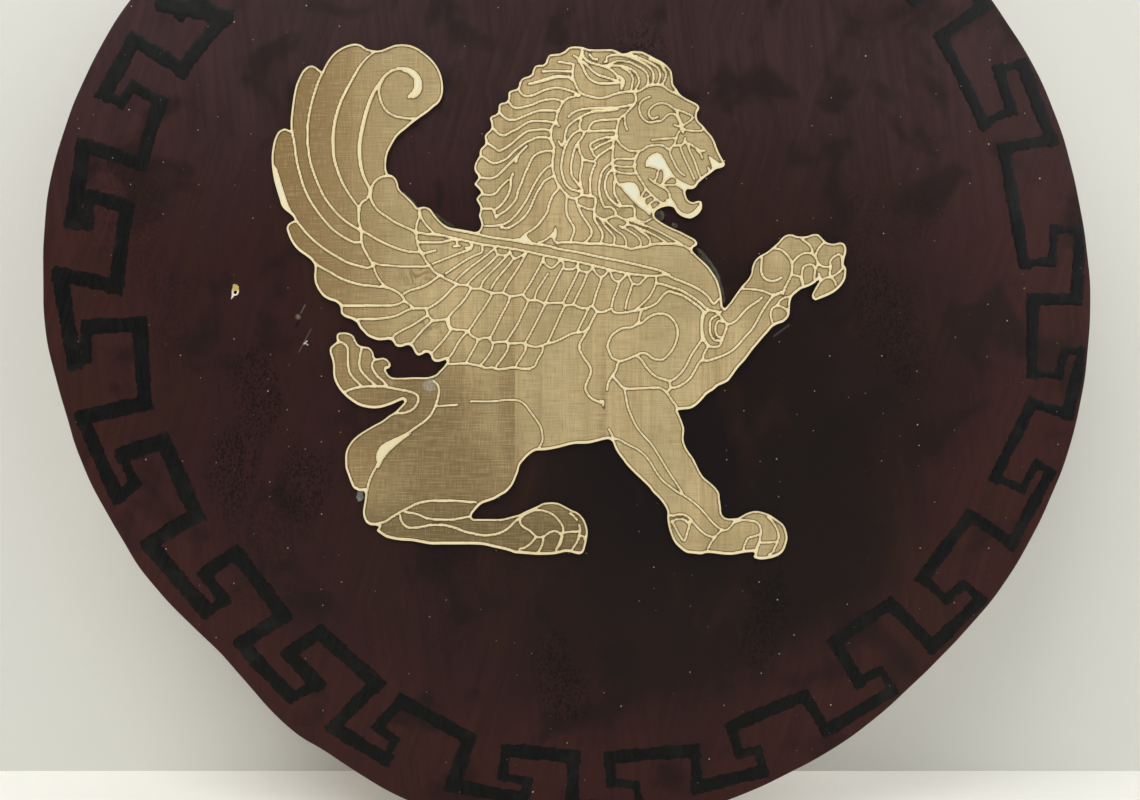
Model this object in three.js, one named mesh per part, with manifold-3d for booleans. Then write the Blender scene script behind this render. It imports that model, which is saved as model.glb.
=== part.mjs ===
// A hand-made round shield: a dark painted plywood disc with a thin plywood figure of a
// winged lion glued on its face, and a leather arm band and hand grip screwed to its back.
// Millimetres. The front looks along -Y, +Z is up, +X is to the viewer's right.
// The origin is the centre of the board's flat back, where the forearm lies.
import * as THREE from 'three';
import { mergeVertices } from 'three/addons/utils/BufferGeometryUtils.js';
import Module from 'manifold-3d';

const wasm = await Module();
wasm.setup();

// Board
const boardDiameter = 800;
const boardThickness = 12;
const rimRounding = 2;
const rimFacets = 80;

// Painted key border: one unbroken line of brush strokes
const keyStrokeWidth = 13;
const paintThickness = 0.3;

// Figure: thin plywood, its fields sunk by the laser, its ribs and border left standing
const lionWidth = 435;
const lionLeft = -222;
const lionBottom = -196;
const lionThickness = 3;
const fieldDepth = 0.8;
const ribWidth = 2.6;
const borderWidth = 3;
const chordError = 0.6;
const mitreLimitShare = 0.5;

// Leather, screws and washers
const leatherThickness = 3.5;
const screwTipCover = 0.5;
const screwShankDiameter = 3.5;
const screwHeadDiameter = 7;
const screwHeadHeight = 2.4;
const screwHeadEdge = 0.9;
const screwPointLength = 4;
const washerDiameter = 13;
const washerThickness = 1;
const fitClearance = 0.3;
const screwSides = 10;
const washerSides = 12;

// Arm band: an upright loop that the forearm passes through
const armBandX = 20;
const armBandZ = 0;
const armBandWidth = 60;
const armLoopHalfSpan = 58;
const armLoopHeight = 88;
const armFootLength = 38;
const armScrewSpread = 36;
const armSeatWidth = 100;

// Hand grip: a narrow upright loop near the left rim, higher than the arm band
const handGripX = -203;
const handGripZ = 54;
const handGripWidth = 32;
const gripLoopHalfSpan = 42;
const gripLoopHeight = 42;
const gripFootLength = 44;
const gripScrewPitch = 23;

const strapFillet = 9;
const strapFilletSteps = 3;
const strapArchSteps = 16;

// Chipped hole left by a first try at the hand grip
const strayHoleX = -252.5;
const strayHoleZ = 7.5;
const strayHoleDiameter = 4;
const chipWidth = 10;
const chipHeight = 16;
const chipDepth = 1.1;

const glueHeight = 1.8;
const glueSides = 12;
const glueRings = 2;

const overrun = 1;
const halfTurn = Math.PI;
const thousandth = lionWidth / 1000;

// Rim: degrees counter-clockwise from the right, and the radius as a share of the nominal one.
// The disc was sawn by hand, so it is flattened at its lower left.
const rimShares = [
  [0, 0.999], [10, 0.996], [25, 0.998], [35, 0.993], [50, 1], [130, 1], [150, 1.011], [165, 1.01],
  [180, 0.996], [195, 0.975], [210, 0.959], [225, 0.94], [240, 0.972], [255, 1], [285, 1],
  [300, 0.993], [315, 0.984], [330, 0.994], [345, 0.999], [360, 0.999],
];

// Key border, one row for each key: degrees counter-clockwise from the right where its outward
// stroke stands, its outer and inner runs as shares of the rim there, and the share of the
// brush's width that was used. The keys were painted freehand, so no two are alike.
const keyShares = [
  [0.1, 0.974, 0.889, 0.75], [18.7, 0.975, 0.885, 0.75], [35.1, 0.98, 0.88, 0.8],
  [49.3, 0.972, 0.872, 0.85], [63.5, 0.965, 0.862, 0.9], [77.7, 0.96, 0.855, 1],
  [92, 0.955, 0.85, 1], [106.2, 0.952, 0.846, 1], [120.5, 0.95, 0.842, 1],
  [134.8, 0.95, 0.842, 1], [149, 0.95, 0.842, 1], [162.1, 0.953, 0.842, 1],
  [177.6, 0.957, 0.85, 1], [193.6, 0.963, 0.84, 1], [210.1, 0.954, 0.845, 1],
  [227.5, 0.952, 0.845, 1], [242.5, 0.945, 0.832, 1], [257.2, 0.948, 0.853, 0.9],
  [270.8, 0.963, 0.868, 0.8], [285.5, 0.963, 0.88, 0.7], [301.1, 0.967, 0.884, 0.7],
  [316.8, 0.978, 0.86, 0.8], [331.7, 0.975, 0.873, 0.75], [347.3, 0.98, 0.905, 0.7],
];

// Corners of one key: how far along it they stand, and how far out between its two runs.
const keyCornerShares = [[0, 0], [0, 1], [0.61, 1], [0.61, 0.62], [0.4, 0.62], [0.4, 0]];

// Chip round the stray hole: corners as shares of its width and height.
const chipShares = [
  [-0.5, 0.1], [-0.3, -0.35], [0.05, -0.5], [0.45, -0.2], [0.5, 0.2], [0.2, 0.5], [-0.25, 0.4],
];

// Figure: x and z in turn, as thousandths of its width, from its lower left.
// Its outline runs clockwise in smooth stretches, and each row ends in a corner.
const outlineShares = [
  // Upper feathers and the curl of the wing
  [31, 747, 33, 785, 40, 825, 53, 852, 68, 860, 84, 850],
  [84, 850, 99, 873, 120, 891, 143, 898, 162, 890, 183, 886, 213, 896, 236, 896, 262, 883, 284, 861,
    296, 828, 289, 796, 268, 778, 243, 760, 217, 738, 200, 708, 200, 671],
  [200, 671, 213, 664, 219, 647, 234, 631, 251, 612],
  [251, 612, 268, 613, 280, 602, 298, 583, 325, 575, 352, 570, 363, 584, 359, 598, 361, 612, 354, 627],
  // Back of the mane, lock by lock
  [354, 627, 363, 638],
  [363, 638, 356, 648, 351, 653, 354, 658, 358, 664],
  [358, 664, 352, 676, 351, 683, 353, 691, 360, 703],
  [360, 703, 362, 715, 370, 723],
  [370, 723, 369, 736, 378, 747, 381, 753],
  [381, 753, 378, 768, 387, 774, 392, 778],
  [392, 778, 394, 792, 405, 796, 410, 801],
  [410, 801, 411, 814, 424, 819, 428, 824],
  [428, 824, 431, 833, 440, 840, 446, 841],
  [446, 841, 452, 852, 458, 859, 470, 861],
  [470, 861, 477, 871, 483, 878, 500, 881, 510, 886, 520, 893, 540, 892],
  // Crown, brow, nose and muzzle
  [540, 892, 558, 888, 591, 888, 611, 881, 634, 885, 654, 879, 678, 867, 693, 852, 696, 837, 703, 819,
    719, 803, 739, 793, 742, 784, 738, 771, 749, 755, 765, 735, 774, 715, 785, 694, 787, 689],
  [787, 689, 783, 683, 772, 680, 760, 671, 747, 662, 741, 656, 733, 646, 718, 644],
  // Chin, throat and front of the mane
  [718, 644, 719, 634, 727, 623, 740, 624, 747, 621, 746, 611, 736, 598, 722, 594, 710, 599, 699, 611,
    685, 615, 670, 610, 664, 600, 672, 590, 695, 577, 724, 563, 739, 551, 731, 544, 730, 537],
  // Chest
  [730, 537, 749, 519, 766, 499, 777, 477, 781, 455, 784, 439],
  // Raised foreleg and its paw
  [784, 439, 790, 440, 806, 461, 817, 476, 830, 491, 836, 512, 842, 524, 860, 536, 881, 553, 895, 565,
    912, 563, 931, 563, 945, 567, 957, 559, 971, 550, 987, 552, 997, 545, 998, 533, 995, 517, 998, 500,
    989, 477, 965, 459, 945, 451],
  [945, 451, 940, 457, 951, 483, 952, 489],
  [952, 489, 938, 478, 920, 471, 904, 456, 899, 430, 888, 413, 864, 398, 833, 361, 800, 320, 784, 307,
    767, 295, 752, 283, 739, 269, 728, 263, 705, 260],
  // Standing foreleg and its paw
  [705, 260, 714, 238, 716, 220, 715, 209, 722, 190, 738, 164, 751, 142, 772, 122, 778, 104, 781, 81,
    792, 71, 810, 72, 830, 82, 848, 84, 873, 73, 890, 58, 896, 37, 889, 15, 877, 5, 855, 0, 839, 2],
  // Back of the foreleg, belly and front of the haunch
  [839, 2, 840, 10, 837, 13, 820, 11, 797, 8, 765, 11, 733, 10, 710, 18, 693, 43, 687, 70, 687, 84,
    672, 107, 640, 142, 605, 178, 592, 204, 579, 209, 560, 204, 525, 201, 490, 192, 460, 190, 443, 180,
    428, 157, 414, 124, 390, 107, 362, 95, 349, 83, 346, 74],
  // Hind foot and hock
  [346, 74, 350, 70, 385, 70, 418, 75, 450, 88, 475, 98, 492, 99, 515, 90, 535, 77, 546, 58, 547, 37,
    540, 12, 533, 9, 520, 12, 505, 13, 480, 8, 455, 8, 425, 11, 375, 23, 340, 26, 280, 26, 240, 32,
    205, 36, 187, 44, 181, 50],
  [181, 50, 185, 58],
  [185, 58, 170, 59, 160, 70, 157, 85, 160, 105, 160, 119],
  // Tail and its tuft
  [160, 119, 148, 120, 138, 132, 128, 155, 127, 180, 136, 204, 155, 221, 190, 241, 214, 258, 229, 276],
  [229, 276, 222, 277, 197, 266, 172, 263, 145, 270, 121, 290, 107, 314, 104, 345, 99, 362, 103, 372,
    111, 378],
  [111, 378, 111, 390, 120, 395, 134, 393, 144, 382, 151, 372, 163, 370, 173, 362, 178, 350],
  [178, 350, 191, 351, 203, 344, 204, 335, 196, 330],
  [196, 330, 201, 321, 210, 316, 240, 317, 275, 318, 292, 330, 303, 346],
  // Lower feathers of the wing
  [303, 346, 290, 344, 278, 347, 271, 359],
  [271, 359, 262, 358, 253, 355, 246, 362, 240, 373],
  [240, 373, 230, 372, 220, 370, 211, 377, 206, 382],
  [206, 382, 188, 381, 168, 387, 152, 402, 145, 413],
  [145, 413, 135, 419, 122, 424, 118, 434, 119, 437],
  [119, 437, 110, 448, 88, 458, 75, 478, 73, 505],
  [73, 505, 66, 522, 38, 545, 25, 570, 27, 582, 36, 590],
  [36, 590, 20, 610, 7, 643, -2, 690, 0, 720, 9, 744, 22, 750, 31, 747],
];

// Main ribs left standing between the sunk fields. Finer ones are too small to matter here.
const ribShares = [
  // Long feathers
  [33, 745, 39, 708, 47, 670, 62, 630, 88, 592, 125, 560, 152, 553],
  [86, 847, 73, 815, 62, 770, 60, 730, 65, 692, 80, 650, 103, 612, 132, 585, 154, 571],
  [177, 884, 152, 860, 129, 820, 112, 780, 105, 740, 106, 700, 117, 665, 138, 628, 151, 606],
  [236, 805, 254, 813, 254, 838, 234, 854, 206, 851, 186, 830, 168, 797, 155, 750, 151, 700, 160, 662,
    170, 640],
  [41, 589, 60, 566, 92, 539, 130, 517, 165, 508, 175, 511],
  [74, 515, 115, 491, 155, 478, 208, 470, 227, 455, 229, 450],
  [119, 441, 180, 441, 220, 447, 229, 450],
  [203, 668, 183, 663, 170, 641, 155, 622, 149, 600, 154, 560, 163, 532, 175, 512],
  [170, 640, 175, 618, 198, 597, 228, 580, 249, 568],
  [155, 572, 180, 558, 215, 542, 250, 535, 258, 536],
  [175, 511, 184, 489, 198, 474],
  // Spar of the wing and its root
  [254, 610, 249, 570, 259, 533, 280, 502, 293, 494],
  [249, 570, 300, 562, 345, 552, 380, 547, 434, 538, 488, 525, 542, 515, 608, 500, 661, 494, 682, 496],
  [297, 583, 325, 575, 360, 565, 416, 556, 479, 546, 533, 536, 590, 523, 643, 511, 679, 501, 715, 483,
    747, 467, 768, 446, 777, 456],
  [649, 437, 671, 449, 690, 467, 712, 460, 735, 445, 750, 431],
  [668, 482, 694, 474, 730, 458, 760, 434],
  // Coverts
  [346, 549, 344, 541, 309, 527, 275, 514],
  [364, 547, 362, 537, 332, 519, 300, 497],
  [386, 544, 384, 540, 359, 520, 319, 486],
  [409, 531, 375, 495, 362, 474],
  [440, 531, 420, 497, 402, 468],
  [471, 524, 448, 481, 435, 461],
  [504, 506, 488, 475, 475, 448],
  [533, 505, 512, 466, 506, 448],
  [571, 492, 563, 463, 557, 441],
  [603, 483, 593, 455, 589, 436],
  [667, 494, 665, 474, 649, 450, 631, 434],
  // Rows of feather tips
  [228, 463, 258, 474, 283, 489, 293, 494, 317, 481, 335, 478, 346, 471, 362, 471, 382, 464, 400, 464,
    413, 458, 436, 460, 445, 452, 461, 451, 475, 446, 504, 446, 530, 442, 547, 437],
  [547, 437, 559, 441, 566, 432, 585, 434, 593, 431, 626, 432, 649, 437],
  [229, 450, 244, 438, 267, 437, 270, 426, 279, 416, 302, 417, 308, 401, 340, 397, 357, 383, 377, 384,
    386, 377, 405, 379, 434, 377, 447, 372, 468, 371, 477, 376, 506, 386, 530, 396],
  [530, 396, 552, 408, 560, 420, 567, 431],
  [303, 344, 336, 341, 372, 333, 404, 331, 425, 334, 447, 331, 461, 348, 472, 374],
  // Middle and lower feathers
  [147, 418, 200, 421, 243, 437],
  [270, 427, 225, 399, 208, 384],
  [279, 416, 255, 393, 240, 374],
  [271, 438, 302, 461, 320, 478],
  [344, 470, 326, 445, 306, 419],
  [382, 464, 357, 423, 341, 398],
  [413, 458, 391, 411, 377, 384],
  [445, 452, 427, 412, 407, 380],
  [475, 446, 448, 393, 439, 376],
  [508, 441, 484, 389, 475, 376],
  [309, 400, 286, 374, 276, 357],
  [338, 397, 321, 373, 306, 347],
  [358, 383, 343, 355, 336, 343],
  [385, 377, 372, 351, 362, 338],
  [411, 375, 399, 350, 387, 334],
  [439, 375, 433, 353, 423, 337],
  // Locks of the mane
  [429, 817, 440, 808, 462, 812, 487, 821, 514, 818, 533, 808],
  [412, 796, 426, 786, 451, 792, 478, 801, 506, 796],
  [395, 778, 411, 766, 433, 770, 461, 780, 497, 780],
  [381, 752, 395, 740, 415, 745, 436, 757, 461, 764, 493, 761],
  [371, 724, 393, 712, 413, 722, 433, 739, 456, 748, 484, 746],
  [361, 701, 377, 692, 397, 692, 418, 709, 440, 726, 461, 735, 481, 733, 490, 719],
  [358, 666, 381, 664, 408, 685, 424, 701, 442, 721],
  [488, 711, 463, 708, 444, 683, 432, 655, 420, 624, 402, 603, 387, 596],
  [490, 688, 469, 674, 449, 635, 430, 600, 405, 582, 370, 580],
  [500, 799, 497, 779, 485, 745, 490, 719, 488, 690, 490, 668, 499, 650],
  [499, 650, 483, 624, 478, 606, 460, 581, 442, 568, 420, 558],
  [499, 650, 512, 634, 511, 604, 524, 578, 524, 563, 518, 553],
  [528, 629, 537, 604, 555, 572, 543, 552],
  [512, 634, 537, 635, 560, 631, 559, 603, 574, 566, 570, 551],
  [562, 600, 578, 591, 601, 572, 614, 556, 614, 545],
  [606, 579, 630, 567, 642, 555, 639, 545],
  [618, 587, 658, 570, 683, 558, 700, 550],
  [491, 552, 524, 551, 560, 550, 600, 547, 626, 541, 655, 545, 690, 549, 713, 547, 730, 539],
  [570, 594, 585, 592, 598, 598, 618, 590, 629, 595, 648, 588, 664, 595],
  [538, 640, 519, 645, 506, 665, 502, 690, 508, 715, 522, 741, 538, 747, 551, 746, 594, 748],
  [500, 721, 509, 738, 520, 760, 544, 775, 576, 782, 594, 784, 622, 793],
  [539, 642, 535, 668, 539, 696, 533, 715, 543, 742],
  [539, 697, 561, 693],
  [560, 700, 553, 720, 562, 728, 600, 737],
  [553, 634, 553, 665, 562, 692, 575, 708, 592, 718],
  [592, 692, 576, 677, 569, 650, 573, 624, 585, 613, 597, 606, 598, 598],
  [594, 732, 592, 692, 597, 662, 603, 652],
  // Crown
  [500, 799, 513, 804, 533, 808, 551, 806, 580, 805, 600, 812, 630, 814],
  [539, 889, 536, 868, 547, 842, 571, 829, 604, 830],
  [523, 863, 522, 842, 533, 817, 551, 806],
  [447, 829, 465, 833, 494, 841, 512, 841, 521, 835],
  [471, 850, 500, 851, 520, 850],
  [540, 878, 555, 865, 580, 858, 596, 847, 604, 836, 607, 820],
  [590, 858, 611, 859, 631, 849, 638, 832, 630, 814],
  [578, 862, 595, 866, 622, 866, 647, 852, 654, 838, 650, 824],
  [617, 880, 647, 870, 670, 856, 674, 840, 670, 828],
  // Face
  [630, 814, 650, 824, 670, 827, 690, 818, 704, 811],
  [630, 814, 632, 800, 620, 783, 606, 768, 599, 750, 599, 735, 611, 718, 634, 711, 652, 718, 672, 722,
    688, 714, 700, 721, 721, 725, 738, 716, 752, 711],
  [657, 806, 641, 797, 638, 780, 651, 763, 676, 764, 691, 776, 703, 772, 710, 757],
  [671, 771, 660, 768, 655, 781, 668, 793, 687, 793, 702, 783, 707, 770, 713, 755],
  [702, 783, 721, 777, 731, 771],
  [731, 768, 713, 753, 702, 731, 692, 715, 694, 703, 705, 681, 717, 669],
  [722, 723, 733, 697, 744, 665],
  [638, 709, 631, 690, 633, 672, 645, 654, 658, 637, 668, 627, 685, 620],
  [656, 663, 667, 656, 683, 646, 690, 638, 696, 622],
  // Shoulder and raised foreleg
  [639, 413, 652, 420, 676, 428, 697, 417, 705, 394, 698, 369, 679, 348, 668, 348, 642, 359],
  [639, 413, 611, 403, 591, 391, 583, 371, 590, 352, 604, 345, 625, 352, 642, 359],
  [642, 434, 639, 413],
  [750, 431, 747, 410, 748, 385, 735, 366, 719, 336, 700, 313, 691, 310, 670, 317, 650, 334, 634, 355],
  [748, 384, 758, 372, 748, 347, 726, 315, 703, 300, 688, 293],
  [748, 347, 784, 355, 822, 386, 851, 430, 870, 456, 887, 466],
  [760, 434, 749, 415, 749, 395, 759, 373, 770, 369, 780, 376, 787, 395, 791, 408],
  [783, 415, 772, 410, 771, 398, 782, 386],
  [762, 434, 773, 432, 786, 416, 793, 410, 808, 417, 830, 440, 852, 456],
  [818, 471, 850, 468, 870, 461, 887, 466],
  [852, 528, 851, 500, 866, 485, 887, 491],
  [873, 541, 893, 532, 905, 515, 903, 496, 892, 473, 887, 465],
  [906, 518, 922, 532, 941, 530, 950, 514, 971, 508],
  [923, 476, 922, 500, 931, 513, 944, 508],
  [986, 532, 972, 522, 971, 496, 983, 497, 992, 507],
  [955, 485, 966, 491, 978, 485, 981, 476],
  [903, 458, 883, 450, 868, 430, 871, 412],
  // Flank, standing foreleg and its paw
  [549, 402, 537, 384, 534, 366, 543, 349, 554, 330, 545, 305, 551, 284, 575, 273],
  [604, 345, 592, 320, 608, 301, 635, 298, 674, 299, 690, 284, 705, 261],
  [612, 297, 619, 265, 645, 216, 681, 166, 717, 112],
  [592, 213, 622, 199, 650, 178, 670, 148, 700, 119, 730, 101, 760, 71, 783, 52, 796, 54, 805, 68],
  [691, 77, 706, 78, 724, 73, 744, 51, 768, 39, 783, 51],
  [697, 67, 704, 47, 716, 32, 723, 50, 727, 66],
  [770, 39, 758, 19],
  [819, 16, 829, 37, 850, 43, 847, 30, 878, 29],
  [806, 66, 821, 68, 841, 65, 850, 50],
  // Haunch, hind leg and its paw
  [344, 275, 424, 277, 441, 267, 464, 234, 469, 210, 463, 192],
  [283, 309, 289, 290, 283, 267, 262, 240, 224, 216, 195, 196, 182, 168, 168, 140, 161, 116],
  [182, 61, 208, 74, 237, 90, 269, 101, 305, 102, 354, 99],
  [221, 76, 228, 60, 247, 54, 285, 60, 325, 52, 370, 42, 400, 48, 431, 71],
  [230, 82, 255, 77, 276, 70, 312, 69, 341, 74],
  [431, 70, 431, 62, 459, 39, 490, 49, 502, 44, 502, 32, 492, 16],
  [437, 75, 457, 85, 479, 82, 499, 66, 505, 47, 534, 48],
  // Tail and its tuft
  [124, 292, 153, 300, 200, 300, 247, 289, 252, 277, 237, 257, 213, 247],
  [111, 378, 124, 375, 130, 362, 131, 335, 146, 308, 153, 302],
  [154, 370, 150, 340, 158, 322, 178, 304],
  [179, 349, 172, 337, 182, 318, 199, 302],
];

// Hot-melt glue that squeezed out beside the figure: centre, half length, half width, all in
// thousandths of the figure's width, and the tilt in degrees.
const glueShares = {
  glue_bead_wing_upper: [237, 625, 20, 6, -45],
  glue_bead_wing_lower: [297, 597, 26, 6, -35],
  glue_bead_chest: [772, 497, 48, 9, -62],
  glue_bead_throat: [673, 600, 11, 11, 0],
  glue_bead_hock: [151, 110, 7, 11, 0],
  glue_drip_neck: [700, 582, 6, 5, -30],
};

const shankRadius = screwShankDiameter / 2;
const boreRadius = shankRadius + fitClearance;
const seatHeight = leatherThickness + washerThickness;
const pilotDepth = boardThickness - screwTipCover + fitClearance;
const screwLength = seatHeight + boardThickness - screwTipCover;

const paint = new THREE.MeshStandardMaterial({ color: '#35272a', roughness: 0.55, metalness: 0 });
const blackPaint = new THREE.MeshStandardMaterial({ color: '#232625', roughness: 0.5, metalness: 0 });
const plywood = new THREE.MeshStandardMaterial({ color: '#b49c6e', roughness: 0.7, metalness: 0 });
const leather = new THREE.MeshStandardMaterial({ color: '#5a3a22', roughness: 0.75, metalness: 0 });
const zincSteel = new THREE.MeshStandardMaterial({ color: '#a9abab', roughness: 0.35, metalness: 1 });
const glue = new THREE.MeshStandardMaterial({ color: '#6b6648', roughness: 0.25, metalness: 0 });

// A closed solid from a three.js geometry whose seams and poles are merged first.
function solid(geometry) {
  const plain = geometry.clone();
  plain.deleteAttribute('normal');
  plain.deleteAttribute('uv');
  const merged = mergeVertices(plain);
  const corners = merged.index.array;
  const kept = [];
  for (let i = 0; i < corners.length; i += 3) {
    const [a, b, c] = [corners[i], corners[i + 1], corners[i + 2]];
    if (a !== b && b !== c && c !== a) kept.push(a, b, c);
  }
  return new wasm.Manifold(new wasm.Mesh({
    numProp: 3,
    vertProperties: Float32Array.from(merged.attributes.position.array),
    triVerts: Uint32Array.from(kept),
  }));
}

function geometryOf(manifold) {
  const { vertProperties, triVerts } = manifold.getMesh();
  const geometry = new THREE.BufferGeometry();
  geometry.setAttribute('position', new THREE.BufferAttribute(Float32Array.from(vertProperties), 3));
  geometry.setIndex(new THREE.BufferAttribute(Uint32Array.from(triVerts), 1));
  geometry.computeVertexNormals();
  return geometry;
}

function piece(name, geometry, material) {
  const mesh = new THREE.Mesh(geometry, material);
  mesh.name = name;
  return mesh;
}

// Prism of a flat outline, from the given height up. The outline is drawn in x and z,
// and the prism rises towards the viewer once it is laid on the shield.
function prism(points, height, from = 0) {
  const geometry = new THREE.ExtrudeGeometry(new THREE.Shape(points), {
    depth: height,
    bevelEnabled: false,
  });
  geometry.translate(0, 0, from);
  return solid(geometry);
}

// Lays a prism drawn in x and y against the front, with its base at the given depth. The axes
// are swapped exactly, so that flat faces stay exactly flat.
function faceForward(geometry, baseY) {
  const [right, up, inward] = [[1, 0, 0], [0, 0, 1], [0, -1, 0]].map((v) => new THREE.Vector3(...v));
  geometry.applyMatrix4(new THREE.Matrix4().makeBasis(right, up, inward));
  geometry.translate(0, baseY, 0);
  return geometry;
}

function upright(radius, fromY, toY, sides) {
  const bar = new THREE.CylinderGeometry(radius, radius, toY - fromY, sides);
  bar.translate(0, (fromY + toY) / 2, 0);
  return bar;
}

function rimRadius(degrees) {
  const next = rimShares.findIndex(([angle]) => angle >= degrees);
  const [toAngle, toShare] = rimShares[Math.max(next, 1)];
  const [fromAngle, fromShare] = rimShares[Math.max(next, 1) - 1];
  const along = (degrees - fromAngle) / (toAngle - fromAngle);
  return (boardDiameter / 2) * THREE.MathUtils.lerp(fromShare, toShare, along);
}

function rimOutline() {
  const points = [];
  for (let i = 0; i < rimFacets; i += 1) {
    const degrees = ((i + 0.5) * 360) / rimFacets;
    const angle = THREE.MathUtils.degToRad(degrees);
    const radius = rimRadius(degrees);
    points.push(new THREE.Vector2(radius * Math.cos(angle), radius * Math.sin(angle)));
  }
  return points;
}

// Places of the screws, in x and z.
const armFixings = [];
for (const end of [-1, 1]) {
  for (const side of [-1, 1]) {
    const reach = armLoopHalfSpan + leatherThickness + strapFillet + armFootLength / 2;
    armFixings.push([armBandX + (side * armScrewSpread) / 2, armBandZ + end * reach]);
  }
}
const gripFixings = [];
for (const end of [-1, 1]) {
  for (const row of [-1, 1]) {
    const middle = gripLoopHalfSpan + leatherThickness + strapFillet + gripFootLength / 2;
    gripFixings.push([handGripX, handGripZ + end * (middle + (row * gripScrewPitch) / 2)]);
  }
}

function board() {
  const blank = new THREE.ExtrudeGeometry(new THREE.Shape(rimOutline()), {
    depth: boardThickness - 2 * rimRounding,
    bevelThickness: rimRounding,
    bevelSize: rimRounding,
    bevelOffset: -rimRounding,
    bevelSegments: 1,
  });
  blank.translate(0, 0, rimRounding);
  let body = solid(faceForward(blank, 0));
  // A block is cut out under the forearm and set back flush, so its seat is a face of its own.
  const seatDepth = boardThickness / 2;
  const seat = new THREE.BoxGeometry(armSeatWidth, seatDepth, 2 * (armLoopHalfSpan - strapFillet));
  const block = solid(seat.translate(armBandX, -seatDepth / 2, armBandZ));
  body = body.subtract(block).add(block);
  for (const [x, z] of [...armFixings, ...gripFixings]) {
    const pilot = upright(boreRadius, -pilotDepth, overrun, screwSides);
    body = body.subtract(solid(pilot.translate(x, 0, z)));
  }
  const stray = upright(strayHoleDiameter / 2, -boardThickness - overrun, overrun, screwSides);
  body = body.subtract(solid(stray.translate(strayHoleX, 0, strayHoleZ)));
  const corners = chipShares.map(([x, z]) => new THREE.Vector2(
    strayHoleX + x * chipWidth,
    strayHoleZ + z * chipHeight,
  ));
  const chip = new THREE.ExtrudeGeometry(new THREE.Shape(corners), {
    depth: chipDepth + overrun,
    bevelEnabled: false,
  });
  body = body.subtract(solid(faceForward(chip, chipDepth - boardThickness)));
  return piece('board', geometryOf(body), paint);
}

// The key border is a film of paint in one closed ring, so its middle is a hole.
function keyBorder() {
  const line = [];
  const widths = [];
  keyShares.forEach(([degrees, outer, inner, width], i) => {
    const next = keyShares[(i + 1) % keyShares.length][0];
    const pitch = THREE.MathUtils.euclideanModulo(next - degrees, 360);
    for (const [along, out] of keyCornerShares) {
      const at = THREE.MathUtils.euclideanModulo(degrees + along * pitch, 360);
      const radius = rimRadius(at) * THREE.MathUtils.lerp(inner, outer, out);
      const angle = THREE.MathUtils.degToRad(at);
      line.push(new THREE.Vector2(radius * Math.cos(angle), radius * Math.sin(angle)));
      widths.push(width * keyStrokeWidth);
    }
  });
  const edge = (side) => line.map((corner, i) => {
    const before = corner.clone().sub(line.at(i - 1)).normalize();
    const after = line[(i + 1) % line.length].clone().sub(corner).normalize();
    const along = before.clone().add(after).normalize();
    const reach = (side * widths[i]) / 2 / along.dot(after);
    return corner.clone().add(new THREE.Vector2(along.y, -along.x).multiplyScalar(reach));
  });
  const ring = new THREE.Shape(edge(1));
  ring.holes.push(new THREE.Path(edge(-1)));
  const film = new THREE.ExtrudeGeometry(ring, { depth: paintThickness, bevelEnabled: false });
  return piece('key_border', geometryOf(solid(faceForward(film, -boardThickness))), blackPaint);
}

// Halves a stretch of curve until each chord lies close enough to it.
function flatten(curve, from, to, start, end, points) {
  const middle = curve.getPoint((from + to) / 2);
  const chord = new THREE.Line3(start, end);
  const nearest = chord.closestPointToPoint(middle, true, new THREE.Vector3());
  if (nearest.distanceTo(middle) > chordError) {
    flatten(curve, from, (from + to) / 2, start, middle, points);
    flatten(curve, (from + to) / 2, to, middle, end, points);
  } else {
    points.push(end);
  }
}

// A smooth stretch through the listed points, as points in millimetres.
function stretch(shares) {
  const points = [];
  for (let i = 0; i < shares.length; i += 2) {
    points.push(new THREE.Vector3(
      lionLeft + shares[i] * thousandth,
      lionBottom + shares[i + 1] * thousandth,
      0,
    ));
  }
  const flat = [points[0]];
  if (points.length === 2) return points;
  const curve = new THREE.CatmullRomCurve3(points, false, 'centripetal');
  const spans = points.length - 1;
  for (let i = 0; i < spans; i += 1) {
    flatten(curve, i / spans, (i + 1) / spans, curve.getPoint(i / spans),
      curve.getPoint((i + 1) / spans), flat);
  }
  return flat;
}

// Both sides of a strip that follows a line of points, mitred at its bends, as one outline.
function strip(points, width) {
  const left = [];
  const right = [];
  points.forEach((point, i) => {
    const before = points[Math.max(i - 1, 0)];
    const after = points[Math.min(i + 1, points.length - 1)];
    const ahead = after.clone().sub(i === points.length - 1 ? before : point).normalize();
    const behind = point.clone().sub(i === 0 ? point : before).normalize();
    const along = ahead.clone().add(behind).normalize();
    const stretchOut = 1 / Math.max(along.dot(ahead), mitreLimitShare);
    const side = new THREE.Vector2(-along.y, along.x).multiplyScalar((width / 2) * stretchOut);
    left.push(new THREE.Vector2(point.x + side.x, point.y + side.y));
    right.push(new THREE.Vector2(point.x - side.x, point.y - side.y));
  });
  return [...right, ...left.reverse()];
}

function rib(points, width) {
  return prism(strip(points, width), lionThickness + 2 * overrun, -overrun);
}

// The same line with both its ends carried on past the corners of the outline.
function lengthen(points) {
  const longer = points.map((point) => point.clone());
  const lead = longer[0].clone().sub(longer[1]).setLength(borderWidth);
  const tail = longer.at(-1).clone().sub(longer.at(-2)).setLength(borderWidth);
  longer[0].add(lead);
  longer.at(-1).add(tail);
  return longer;
}

const outlineStretches = outlineShares.map(stretch);
const lionOutline = outlineStretches.flatMap((points) => points.slice(1));

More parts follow.
